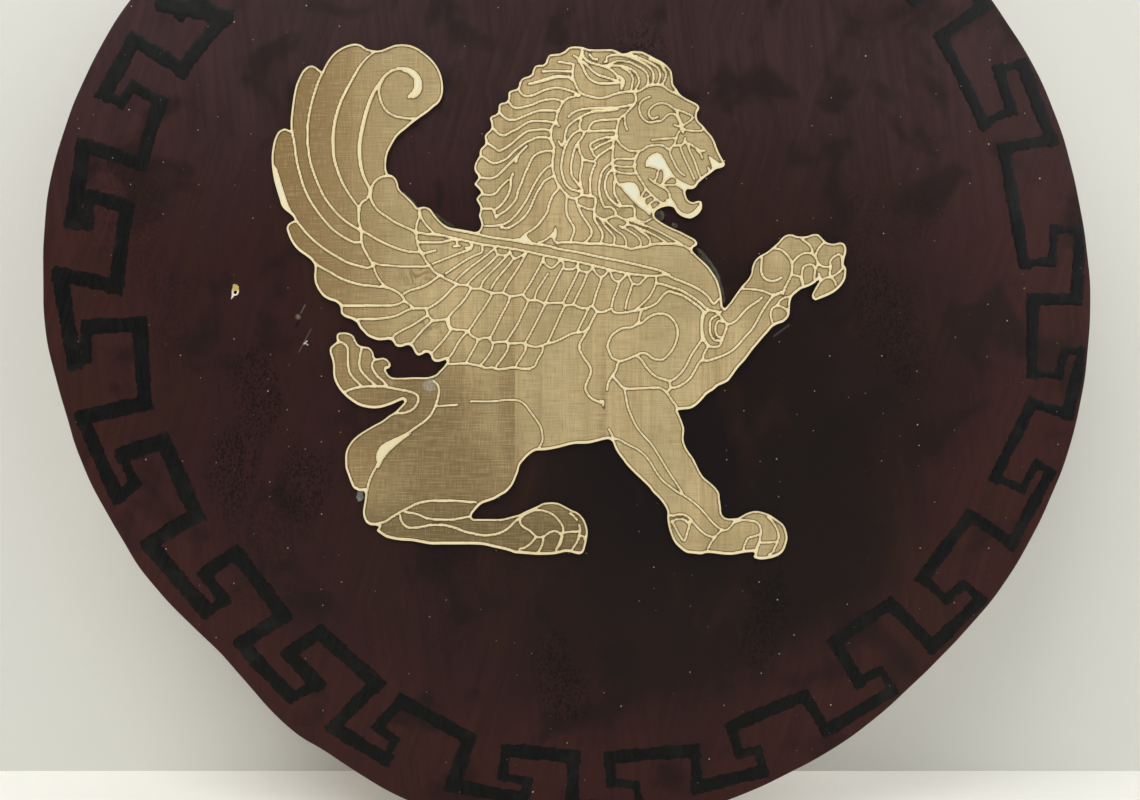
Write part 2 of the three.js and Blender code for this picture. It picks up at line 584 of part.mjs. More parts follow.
// The figure is one sheet, and the laser sinks each field between its ribs and border.
function wingedLion() {
  const sheet = prism(lionOutline, lionThickness);
  const standing = [];
  for (const shares of ribShares) standing.push(rib(stretch(shares), ribWidth));
  for (const points of outlineStretches) standing.push(rib(lengthen(points), 2 * borderWidth));
  const fields = prism(lionOutline, fieldDepth + overrun, lionThickness - fieldDepth)
    .subtract(wasm.Manifold.union(standing));
  return piece('winged_lion', faceForward(geometryOf(sheet.subtract(fields)), -boardThickness), plywood);
}

// A drop with a flat base and a rounded top, cut back to clear the figure's edge.
function glueBead(name, [u, v, halfLength, halfWidth, tilt], edge) {
  const profile = [new THREE.Vector2(0, 0), new THREE.Vector2(1, 0)];
  for (let i = 1; i <= glueRings; i += 1) {
    const angle = (i * halfTurn) / 2 / glueRings;
    profile.push(new THREE.Vector2(i === glueRings ? 0 : Math.cos(angle), Math.sin(angle)));
  }
  const drop = new THREE.LatheGeometry(profile, glueSides);
  drop.rotateX(halfTurn / 2);
  drop.scale(halfLength * thousandth, halfWidth * thousandth, glueHeight);
  drop.rotateZ(THREE.MathUtils.degToRad(tilt));
  drop.translate(lionLeft + u * thousandth, lionBottom + v * thousandth, 0);
  const bead = solid(drop).subtract(edge);
  return piece(name, faceForward(geometryOf(bead), -boardThickness), glue);
}

function glueBeads() {
  const edges = outlineStretches.map((points) => rib(points, 2 * fitClearance));
  const edge = wasm.Manifold.union([
    prism(lionOutline, lionThickness + 2 * overrun, -overrun),
    ...edges,
  ]);
  return Object.entries(glueShares).map(([name, place]) => glueBead(name, place, edge));
}

// A strap that lies flat at both ends and stands up between them as a loop.
function strap(name, width, halfSpan, height, footLength, centre, fixings) {
  const middle = leatherThickness / 2;
  const leg = halfSpan + middle;
  const rise = middle + strapFillet;
  const start = leg + strapFillet;
  const lineUp = new THREE.Path();
  lineUp.absarc(start, rise, strapFillet, (halfTurn * 3) / 2, halfTurn, true);
  const arch = new THREE.Path();
  arch.absellipse(0, rise, leg, height + middle - rise, 0, halfTurn, false);
  const lineDown = new THREE.Path();
  lineDown.absarc(-start, rise, strapFillet, 0, -halfTurn / 2, true);
  const line = [
    new THREE.Vector2(start + footLength, middle),
    ...lineUp.getPoints(strapFilletSteps),
    ...arch.getPoints(strapArchSteps).slice(1),
    ...lineDown.getPoints(strapFilletSteps).slice(1),
    new THREE.Vector2(-start - footLength, middle),
  ];
  const profile = new THREE.Shape(strip(line, leatherThickness));
  const geometry = new THREE.ExtrudeGeometry(profile, { depth: width, bevelEnabled: false });
  geometry.translate(0, 0, -width / 2);
  geometry.rotateY(-halfTurn / 2);
  geometry.translate(centre[0], 0, centre[1]);
  let body = solid(geometry);
  for (const [x, z] of fixings) {
    const bore = upright(boreRadius, -overrun, leatherThickness + overrun, screwSides);
    body = body.subtract(solid(bore.translate(x, 0, z)));
  }
  return piece(name, geometryOf(body), leather);
}

function screw(name, [x, z]) {
  const headRadius = screwHeadDiameter / 2;
  const profile = [
    [0, -screwLength],
    [shankRadius, screwPointLength - screwLength],
    [shankRadius, 0],
    [headRadius, 0],
    [headRadius, screwHeadEdge],
    [headRadius / 2, screwHeadHeight],
    [0, screwHeadHeight],
  ].map(([radius, y]) => new THREE.Vector2(radius, y));
  const body = solid(new THREE.LatheGeometry(profile, screwSides));
  const mesh = piece(name, geometryOf(body), zincSteel);
  mesh.position.set(x, seatHeight, z);
  return mesh;
}

function washer(name, [x, z]) {
  const profile = [
    [boreRadius, 0],
    [washerDiameter / 2, 0],
    [washerDiameter / 2, washerThickness],
    [boreRadius, washerThickness],
    [boreRadius, 0],
  ].map(([radius, y]) => new THREE.Vector2(radius, y));
  const body = solid(new THREE.LatheGeometry(profile, washerSides));
  const mesh = piece(name, geometryOf(body), zincSteel);
  mesh.position.set(x, leatherThickness, z);
  return mesh;
}

function fixings(prefix, places) {
  const group = new THREE.Group();
  places.forEach((place, i) => {
    group.add(washer(`${prefix}_washer_${i + 1}`, place), screw(`${prefix}_screw_${i + 1}`, place));
  });
  return group;
}

const shield = new THREE.Group();
shield.name = 'shield';
shield.add(
  board(),
  keyBorder(),
  wingedLion(),
  ...glueBeads(),
  strap('arm_band', armBandWidth, armLoopHalfSpan, armLoopHeight, armFootLength,
    [armBandX, armBandZ], armFixings),
  strap('hand_grip', handGripWidth, gripLoopHalfSpan, gripLoopHeight, gripFootLength,
    [handGripX, handGripZ], gripFixings),
  fixings('arm_band', armFixings),
  fixings('hand_grip', gripFixings),
);

export default shield;
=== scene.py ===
# %% [markdown]
# # A round shield with a winged lion
# A plywood disc painted dark maroon carries a black key border, painted freehand, and a
# winged lion that a laser cut and engraved in thin pale plywood. Hot-melt glue holds the
# lion, and a leather arm band and hand grip are screwed to the back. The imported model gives
# every size and place, so it is loaded first, and each piece is then worked out around it.

import bmesh
import bpy
import numpy as np
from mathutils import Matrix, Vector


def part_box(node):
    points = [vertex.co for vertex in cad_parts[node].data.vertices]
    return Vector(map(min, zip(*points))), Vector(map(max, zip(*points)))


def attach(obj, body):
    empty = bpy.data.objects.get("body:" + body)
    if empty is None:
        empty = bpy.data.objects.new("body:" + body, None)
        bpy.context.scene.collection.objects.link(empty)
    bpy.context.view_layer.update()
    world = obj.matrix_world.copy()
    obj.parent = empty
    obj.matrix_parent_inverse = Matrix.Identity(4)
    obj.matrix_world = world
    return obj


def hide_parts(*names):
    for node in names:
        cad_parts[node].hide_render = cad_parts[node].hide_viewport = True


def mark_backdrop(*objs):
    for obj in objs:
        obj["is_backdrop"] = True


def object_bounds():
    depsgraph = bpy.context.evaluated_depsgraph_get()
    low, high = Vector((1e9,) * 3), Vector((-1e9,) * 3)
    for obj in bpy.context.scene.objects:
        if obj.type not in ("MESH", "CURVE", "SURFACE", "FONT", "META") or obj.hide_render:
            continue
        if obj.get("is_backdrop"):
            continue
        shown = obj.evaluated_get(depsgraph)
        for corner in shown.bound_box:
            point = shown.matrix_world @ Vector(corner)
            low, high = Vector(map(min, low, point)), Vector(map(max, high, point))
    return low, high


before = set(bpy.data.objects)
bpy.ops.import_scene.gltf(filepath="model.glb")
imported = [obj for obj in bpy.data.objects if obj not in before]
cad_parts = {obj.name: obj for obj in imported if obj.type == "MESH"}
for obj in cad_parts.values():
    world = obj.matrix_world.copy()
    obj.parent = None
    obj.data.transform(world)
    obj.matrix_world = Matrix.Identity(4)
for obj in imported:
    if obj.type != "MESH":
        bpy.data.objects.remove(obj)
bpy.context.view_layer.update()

# %% [markdown]
# ## Units and boxes
# Blender works in metres, and a maker thinks in millimetres, so one value turns one into the
# other. The boxes of the CAD nodes say where the faces lie that the new pieces sit on.

# %% Units, boxes and chance
mm = 0.001
board_low, board_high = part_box("board")
lion_low, lion_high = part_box("winged_lion")
front_y = board_low.y
back_y = board_high.y
board_thickness = back_y - front_y
chance = np.random.default_rng(7)
print("the board is", round(board_thickness / mm, 2), "mm thick")

# %% [markdown]
# ## Camera
# The photograph looks straight at the shield, and its top edge cuts off the top of the
# board. A camera that looks along +Y from a little below the centre gives the same frame. Its
# lens follows from the width that the photograph shows at the board's face.

# %% Camera
photo_width_px = 1140
photo_height_px = 800
board_centre_px = (566, 301)
metres_per_px = 0.7605 * mm
camera_distance = 0.8
sensor_width = 36
view_width = photo_width_px * metres_per_px
camera_x = (photo_width_px / 2 - board_centre_px[0]) * metres_per_px
camera_z = (board_centre_px[1] - photo_height_px / 2) * metres_per_px

camera_data = bpy.data.cameras.new("camera")
camera_data.sensor_width = sensor_width
camera_data.lens = sensor_width * camera_distance / view_width
camera = bpy.data.objects.new("camera", camera_data)
camera.location = (camera_x, front_y - camera_distance, camera_z)
camera.rotation_euler = (np.pi / 2, 0, 0)
bpy.context.scene.collection.objects.link(camera)
bpy.context.scene.camera = camera
print("the lens is", round(camera_data.lens, 1), "mm long")

# %% [markdown]
# ## Putting arrays into meshes
# Every new piece is an array of points and one or more arrays of faces. One helper turns them
# into an object, so the pieces themselves are only formulas. A second helper joins the rows
# of a grid into four-sided faces.

# %% Mesh helpers
def add_piece(name, points, faces, smooth=True):
    """Makes an object from an array of points and a list of arrays of faces."""
    mesh = bpy.data.meshes.new(name)
    mesh.vertices.add(len(points))
    mesh.vertices.foreach_set("co", np.ascontiguousarray(points, np.float32).ravel())
    corners = np.concatenate([part.ravel() for part in faces]).astype(np.int32)
    sides = np.concatenate([np.full(len(part), part.shape[1]) for part in faces])
    mesh.loops.add(len(corners))
    mesh.loops.foreach_set("vertex_index", corners)
    mesh.polygons.add(len(sides))
    starts = np.concatenate([[0], np.cumsum(sides)[:-1]]).astype(np.int32)
    mesh.polygons.foreach_set("loop_start", starts)
    mesh.update(calc_edges=True)
    mesh.validate()
    mesh.shade_smooth() if smooth else mesh.shade_flat()
    made = bpy.data.objects.new(name, mesh)
    bpy.context.scene.collection.objects.link(made)
    return made


def grid_faces(rows, columns, wrap_rows=False, wrap_columns=False):
    """Four-sided faces between the points of a grid that is stored row by row."""
    r = np.arange(rows if wrap_rows else rows - 1)
    c = np.arange(columns if wrap_columns else columns - 1)
    r, c = np.meshgrid(r, c, indexing="ij")
    r_next, c_next = (r + 1) % rows, (c + 1) % columns
    corners = [r * columns + c, r * columns + c_next, r_next * columns + c_next, r_next * columns + c]
    return np.stack(corners, -1).reshape(-1, 4)


def close_and_turn(piece, distance=0.001 * mm):
    """Merges points that coincide and turns every face of a closed piece outwards."""
    form = bmesh.new()
    form.from_mesh(piece.data)
    bmesh.ops.remove_doubles(form, verts=form.verts, dist=distance)
    bmesh.ops.dissolve_degenerate(form, edges=form.edges, dist=distance)
    bmesh.ops.recalc_face_normals(form, faces=form.faces)
    form.to_mesh(piece.data)
    form.free()


def settle(piece, slot, *nodes):
    """The piece rides on the one body and stands for the named nodes. slot is not used."""
    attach(piece, "root")
    if nodes:
        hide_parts(*nodes)


def smooth_line(points, step):
    """A centripetal Catmull-Rom curve through the points, as points at most a step apart.

    Each span between two points is a blend of four neighbours, whose weights follow the
    square roots of the distances between them, so the curve never loops at a sharp bend."""
    points = np.asarray(points, float)
    if len(points) == 2:
        share = np.linspace(0, 1, int(np.ceil(np.linalg.norm(points[1] - points[0]) / step)) + 1)
        return points[0] + share[:, None] * (points[1] - points[0])
    ends = [2 * points[0] - points[1], *points, 2 * points[-1] - points[-2]]
    line = [points[:1]]
    for a, b, c, d in zip(ends, ends[1:], ends[2:], ends[3:]):
        gaps = [np.sqrt(max(np.linalg.norm(q - p), step / 100)) for p, q in ((a, b), (b, c), (c, d))]
        k0, k1, k2, k3 = np.cumsum([0, *gaps])
        k = np.linspace(k1, k2, int(np.ceil(np.linalg.norm(c - b) / step)) + 1)[1:, None]
        ab = (k1 - k) / (k1 - k0) * a + (k - k0) / (k1 - k0) * b
        bc = (k2 - k) / (k2 - k1) * b + (k - k1) / (k2 - k1) * c
        cd = (k3 - k) / (k3 - k2) * c + (k - k2) / (k3 - k2) * d
        abc = (k2 - k) / (k2 - k0) * ab + (k - k0) / (k2 - k0) * bc
        bcd = (k3 - k) / (k3 - k1) * bc + (k - k1) / (k3 - k1) * cd
        line.append((k2 - k) / (k2 - k1) * abc + (k - k1) / (k2 - k1) * bcd)
    return np.concatenate(line)


def wobble(s, size, waves, seed):
    """A sum of sines with random phases: a smooth, repeatable unevenness along s."""
    random = np.random.default_rng(seed)
    phases = random.uniform(0, 2 * np.pi, len(waves))
    return size * sum(np.sin(s * wave + phase) for wave, phase in zip(waves, phases)) / len(waves)


print("mesh helpers are ready")

# %% [markdown]
# ## The lion's outline
# The figure was drawn by hand and then cut by a laser. Its outline is kept as thousandths of
# the figure's width, counted from its lower left, so it follows the CAD figure's box. It runs
# clockwise in smooth stretches, and each stretch ends in a sharp corner.

# %% Outline of the lion
outline_shares = [
    # Feathers at the tip of the wing, and its curl
    [31,747, 31,765, 33,785, 36,807, 40,825, 46,840, 53,852, 60,858, 68,860, 75,857, 84,850],
    [86,850, 92,862, 99,873, 108,883, 120,891, 132,896, 143,898, 153,896, 162,890, 172,887, 183,886,
     192,888, 202,892, 213,896, 224,897, 236,896, 250,891, 262,883, 274,873, 284,861, 291,848, 295,833,
     296,818, 294,806, 289,796, 280,788, 268,778, 255,769, 243,760, 230,749, 217,738, 208,724, 200,708,
     197,693, 197,680, 200,671],
    [207,669, 213,664, 217,656, 219,647, 225,639, 234,631, 243,622, 251,612],
    [256,613, 262,614, 268,613, 274,610, 280,602, 289,591, 298,583, 308,578, 325,575, 342,572, 352,570,
     358,572, 362,578, 363,584, 361,592, 359,598, 361,607, 361,614, 358,620, 354,627],
    # Locks at the back of the mane
    [358,633, 363,638],
    [361,642, 356,648, 351,653, 354,658, 358,664],
    [357,669, 352,676, 351,683, 353,691, 357,698, 360,703],
    [360,709, 362,715, 366,719, 370,723],
    [370,730, 369,736, 372,742, 378,747, 381,753],
    [380,761, 378,768, 381,772, 387,774, 392,778],
    [393,785, 394,792, 399,795, 405,796, 410,801],
    [410,808, 411,814, 417,817, 424,819, 428,823],
    [429,830, 434,837, 440,840, 445,841],
    [451,845, 453,852, 457,859, 464,861, 470,861],
    [475,865, 477,871, 481,878, 490,880, 500,881],
    # Crown, brow, nose and upper lip
    [508,885, 515,891, 522,893, 531,893, 540,892, 548,889, 558,888, 576,888, 591,888, 600,885, 608,881,
     617,882, 625,885, 634,885, 643,884, 654,879, 667,872, 677,867, 686,860, 693,852, 695,845, 696,837,
     697,828, 703,819, 709,810, 719,803, 729,798, 738,793, 742,789, 742,784, 739,779, 738,771, 741,763,
     749,755, 756,746, 764,737, 769,728, 773,717, 778,706, 785,693, 787,689],
    [786,685, 780,682, 772,680, 765,675, 760,671, 754,667, 747,661, 741,656, 738,651, 733,646, 727,645,
     721,645],
    # Lower lip, chin, throat and the front of the mane
    [718,640, 719,634, 722,627, 727,623, 733,622, 739,624, 745,624],
    [747,621, 747,612, 743,604, 736,598, 728,594, 719,595, 710,599, 703,605, 699,612, 692,615, 685,615,
     675,612, 667,607, 664,601, 666,595, 672,590, 683,583, 695,577, 711,570, 724,563, 735,557, 739,551],
    [738,547, 733,544, 730,541],
    # Chest
    [731,536, 740,527, 749,519, 758,510, 766,499, 773,488, 777,477, 780,465, 782,451, 783,440],
    # Raised foreleg and its paw
    [787,437, 790,440, 797,448, 806,461, 817,476, 827,487, 833,498, 835,510, 840,521, 849,529, 860,535,
     870,543, 881,553, 888,561, 895,565, 903,566, 912,563, 920,562, 931,563, 940,566, 949,566, 956,560,
     963,553, 971,550, 980,550, 987,552, 994,550, 998,543, 998,534, 995,523, 994,514, 998,507, 998,498,
     996,487, 989,476, 978,466, 965,459, 955,455, 945,451],
    [940,454, 939,460, 944,471, 951,483],
    [952, 489],
    [947,484, 938,478, 929,474, 920,471, 912,465, 904,457, 901,448, 900,437, 899,426, 895,419, 888,413,
     879,410, 870,405, 863,397, 854,387, 843,374, 833,362, 822,347, 811,335, 800,320, 793,311, 784,306,
     775,302, 767,295, 756,288, 747,278, 738,269, 728,263, 715,261, 706,260],
    # Standing foreleg and its paw
    [705,258, 709,248, 713,238, 716,227, 715,209, 718,198, 724,187, 732,176, 738,164, 744,152, 751,142,
     762,133, 772,123, 777,115, 778,105, 780,92, 781,81, 785,74, 792,71, 801,71, 810,72, 821,78, 830,82,
     841,84, 853,82, 866,77, 878,69, 889,60, 894,49, 896,37, 893,24, 887,12, 876,5, 862,1, 848,0,
     839,2],
    [837,5, 840,10],
    [837,13, 823,12, 812,10, 798,8, 780,9, 765,11, 754,11, 746,9, 733,10, 720,12, 710,19, 700,29,
     693,44, 689,58, 687,71, 687,83, 682,94, 672,107, 661,118, 656,125, 643,138, 629,151, 615,166,
     610,173, 601,185, 595,196, 592,204, 586,209, 579,209, 567,206, 549,202, 525,201, 511,198, 500,195,
     486,192, 472,190, 457,189, 447,183, 438,174, 430,164, 427,153, 423,143, 419,133, 413,124, 405,116,
     396,111, 386,105, 375,101, 364,97, 357,91, 350,83, 346,77, 346,72],
    # Hind foot and hock
    [350,70, 361,70, 378,70, 396,70, 407,72, 418,75, 429,78, 439,83, 450,88, 461,93, 472,98, 481,99,
     490,99, 499,97, 509,92, 520,86, 531,81, 540,72, 545,62, 548,49, 547,37, 544,23, 540,12, 534,9,
     527,10, 520,12, 509,13, 500,11, 490,9, 475,8, 459,8, 445,9, 432,10, 421,11, 413,14, 402,17, 384,21,
     366,25, 348,26, 321,26, 294,26, 276,26, 258,29, 241,32, 223,33, 205,36, 196,39, 187,45, 181,50,
     184,55],
    [184,58, 178,59, 169,60, 162,65, 158,74, 157,83, 158,92, 160,103, 161,114],
    # Haunch and tail
    [159,119, 156,119, 150,119, 146,121, 140,125, 134,138, 131,147, 127,158, 126,169, 126,179, 128,190,
     133,200, 141,210, 152,219, 165,227, 177,234, 190,241, 202,250, 213,257, 222,266, 228,272],
    [229, 276],
    [226,278, 218,275, 209,271, 198,267, 187,264, 175,263, 160,265, 148,269, 137,276, 128,283, 121,290,
     114,299, 109,308, 106,317, 105,326, 105,335, 104,344, 102,351, 100,357, 99,363, 100,369, 104,373,
     109,377],
    [112,380, 111,385, 111,390, 114,394, 120,395, 127,395, 134,393, 140,389, 143,383, 146,377, 150,373,
     156,371, 162,370, 167,369, 172,364, 175,359, 176,353, 179,350, 184,350, 192,351, 199,348, 203,343,
     205,338, 202,333],
    [198,332, 196,329, 198,326, 201,321, 207,317, 214,316, 225,316, 247,317, 268,317, 277,319, 284,322,
     291,329, 297,335, 302,342],
    # Lower feathers of the wing
    [303, 346],
    [301,348, 295,346, 288,344, 281,345, 277,349, 275,355, 271,360],
    [265,360, 260,357, 253,355, 248,359, 245,365, 242,370],
    [238,373, 232,373, 227,371, 220,370, 214,372, 210,378, 206,382],
    [201,383, 193,382, 182,382, 173,385, 165,389, 158,396, 151,404, 147,412],
    [141,416, 135,419, 128,421, 123,424, 119,428, 118,438],
    [116,443, 110,448, 98,452, 88,458, 80,468, 74,480, 72,493, 73,505],
    [72,514, 66,522, 57,529, 47,536, 38,545, 31,556, 26,568, 24,577, 27,584, 33,588],
    [38,591, 36,596, 30,602, 20,610, 15,617, 11,630, 7,643, 3,657, 0,672, -2,690, -2,705, 0,720, 3,732,
     9,744, 16,749, 22,750, 27,748, 31,747],
]
thousandth = (lion_high.x - lion_low.x) / 1000
leftmost_share = -2


def on_lion(shares):
    """Turns a row of shares, x and z in turn, into points in metres."""
    pairs = np.asarray(shares, float).reshape(-1, 2) - (leftmost_share, 0)
    return pairs * thousandth + (lion_low.x, lion_low.z)


outline_step = 0.6 * mm
outline = np.concatenate([smooth_line(on_lion(row), outline_step) if len(row) > 2 else on_lion(row)
                          for row in outline_shares])
print("the lion's outline has", len(outline), "points")

# %% [markdown]
# ## The lion's ribs
# The laser engraved the fields of the figure and left narrow ribs standing at full height.
# Each row below is one rib's centre line, with a pair for each point, in the same
# thousandths. They are grouped by part of the animal, and each group starts with its ribs'
# usual width in thousandths.

# %% Ribs of the wing
wing_ribs_shares = {5: [
    [177,884, 165,875, 152,860, 140,840, 129,820, 119,800, 112,780, 107,760, 105,740, 105,720, 106,700,
     110,685, 117,665, 127,645, 138,628, 148,614, 151,608],
], 6.6: [
    [206,851, 196,843, 186,830, 176,815, 168,797, 161,775, 155,750, 151,725, 151,700, 154,680, 160,662,
     167,648, 170,640],
], 3.9: [
    # Long feathers at the tip
    [33,745, 37,725, 39,708, 42,690, 47,670, 53,650, 62,630, 73,612, 88,592, 105,574, 125,560, 143,552,
     152,553],
    [86,847, 80,835, 73,815, 67,795, 62,770, 60,750, 60,730, 62,710, 65,692, 72,670, 80,650, 90,630,
     103,612, 118,596, 132,585, 145,577, 154,571],
    [191,836, 186,825, 185,810, 190,793, 199,780, 213,772, 228,769, 243,768, 249,767],
    [41,589, 50,578, 60,566, 75,552, 92,539, 110,528, 130,517, 150,511, 165,508, 174,511],
    [74,515, 85,508, 100,500, 115,491, 135,483, 155,478, 175,476, 195,474, 208,470, 220,463, 227,455,
     229,450],
    [120,442, 160,442, 201,442, 216,444, 229,450],
    [148,418, 180,419, 200,421, 216,425, 232,433, 243,437, 257,437, 267,437],
    [170,642, 163,628, 155,622, 150,612, 149,600, 150,586, 154,572, 154,560, 156,546, 163,532, 170,520,
     175,512],
    [170,642, 175,655, 183,663, 193,667, 203,668],
    [170,640, 170,630, 175,618, 185,606, 198,597, 213,587, 228,580, 243,573, 249,568],
    [155,572, 165,567, 180,558, 198,549, 215,542, 232,537, 250,535, 258,536],
    [255,608, 254,595, 250,583, 249,570, 251,555, 254,543, 259,533, 266,520, 272,512, 280,502, 288,496,
     293,494],
    [252,553, 270,552, 290,552, 305,555, 318,557],
    [258,533, 266,534, 275,536, 283,538],
    [228,463, 240,469, 258,474, 272,481, 283,489, 290,494],
    [229,450, 239,443, 244,438],
    # Lower feathers at the left
    [267,437, 271,438, 280,443, 291,451, 302,461, 311,471, 320,478],
    [267,437, 270,426, 279,416, 291,417, 302,417, 305,407, 308,401],
    [268,424, 257,417, 243,408, 225,399, 210,389, 208,383],
    [279,416, 266,405, 255,393, 245,381, 239,373],
    [302,417, 305,421, 314,432, 323,441, 335,455, 344,470],
    # Spar and the edge of the mane above it
    [297,583, 305,578, 350,568, 380,561, 416,556, 443,551, 479,546, 497,541, 536,534, 572,526, 608,519,
     643,511, 679,501, 697,490, 715,483, 733,475, 747,467, 758,458, 768,445, 776,453],
    [249,570, 273,566, 291,565, 309,561, 326,557, 344,553, 362,549, 398,544, 434,538, 470,530, 511,522,
     554,513, 590,504, 625,497, 661,494, 690,496],
    [495,551, 506,552, 524,552, 550,550, 568,550, 593,547, 608,545, 625,541, 634,543, 651,545, 658,548,
     688,550, 713,547, 722,543, 730,537],
    # Rows of feather tips
    [293,494, 300,489, 309,485, 317,481, 326,478, 335,478, 342,475, 346,472, 362,471, 373,467, 382,464,
     400,464, 407,461, 413,458, 422,459, 436,460, 440,455, 445,452, 461,451, 470,447, 475,446, 504,446,
     509,443, 525,443, 533,439, 547,437, 554,441, 559,438, 565,432, 575,431, 590,436, 593,431, 604,429,
     625,432, 636,434, 649,437],
    [306,420, 307,409, 310,403, 319,400, 332,399, 340,397, 344,391, 352,386, 359,383, 368,386, 377,385,
     382,378, 396,379, 405,379, 412,376, 434,377, 439,375, 447,372, 457,370, 468,372, 479,376, 491,379,
     506,386, 520,393, 531,395, 542,397, 549,402],
    [565,432, 558,420, 549,402, 542,389, 535,377, 534,366, 538,357, 543,349, 551,338, 554,329, 552,320,
     547,309, 544,298, 547,290, 554,281, 563,276, 571,273],
    [301,341, 309,340, 336,341, 350,339, 363,336, 372,333, 382,334, 391,331, 404,332, 417,334, 436,332,
     447,332],
], 3.6: [
    # Coverts under the spar
    [346,549, 345,541, 341,539, 326,534, 309,527, 291,520, 278,515],
    [364,547, 364,536, 348,528, 332,519, 316,508, 301,498],
    [384,540, 373,531, 359,520, 344,509, 330,497, 319,486],
    [391,530, 380,518, 370,509, 357,498, 344,486, 339,479],
    [409,531, 398,518, 387,507, 375,495, 365,482, 362,473],
    [420,525, 411,513, 398,498, 387,484, 380,472],
    [440,531, 430,513, 420,497, 409,481, 402,468],
    [471,524, 466,513, 457,497, 448,481, 435,461],
    [504,506, 497,493, 488,475, 479,457, 475,448],
    [533,505, 527,491, 518,473, 509,455, 506,448],
    [548,499, 540,479, 531,461, 524,446],
    [572,491, 569,479, 563,463, 557,441],
    [603,482, 599,470, 593,455, 590,441],
    [625,477, 622,466, 617,452, 614,437],
    [667,493, 668,484, 664,473, 658,461, 649,450, 640,442, 631,434],
    # Round tips of the coverts under the spar
    [387,540, 392,531, 409,531, 411,535],
    [413,536, 416,529, 421,524, 429,527, 440,533],
    [471,524, 472,518, 479,510, 486,508, 493,513, 499,520],
    [500,523, 506,516, 507,507, 515,505, 524,506, 529,511],
    [531,513, 533,504, 543,501, 550,501, 555,507, 557,511],
    [558,506, 563,498, 571,492, 579,496, 583,502],
    [588,502, 590,493, 595,486, 603,484, 609,489, 615,495],
    [620,495, 623,486, 628,480, 638,479, 643,484, 651,492],
    # Middle row
    [382,464, 378,455, 368,439, 357,423, 348,409, 341,399],
    [413,458, 409,446, 400,429, 391,411, 382,393, 377,384],
    [445,452, 441,441, 434,427, 427,412, 416,394, 407,380],
    [475,446, 468,432, 459,414, 448,393, 439,377],
    [508,441, 502,429, 493,409, 484,389, 479,379],
    [549,436, 543,423, 536,409, 531,398],
    # Lowest row
    [310,400, 300,386, 289,373, 279,362, 275,356],
    [340,396, 334,392, 323,378, 313,360, 305,350],
    [357,382, 352,371, 343,355, 337,344],
    [383,376, 381,366, 372,351, 362,339],
    [410,375, 408,364, 399,350, 389,337],
    [439,375, 440,366, 433,353, 424,339],
    [470,371, 469,362, 461,348, 456,337, 447,332],
], 3.4: [
    [175,511, 178,500, 184,489, 192,479, 198,474],
    [175,517, 187,513, 200,512, 225,510, 250,510, 265,510, 272,512],
    [256,605, 258,597, 264,586, 273,576, 282,567, 290,565],
    [479,498, 470,484, 459,466, 456,455],
    [320,556, 321,548],
    [314,545, 326,546],
    [345,551, 346,545, 341,543, 335,543],
], 6: [
    # The curl at the wing's tip swells towards its eye
    [236,805, 246,806, 254,813, 257,825, 254,838, 246,848, 234,854, 220,855, 206,851],
]}

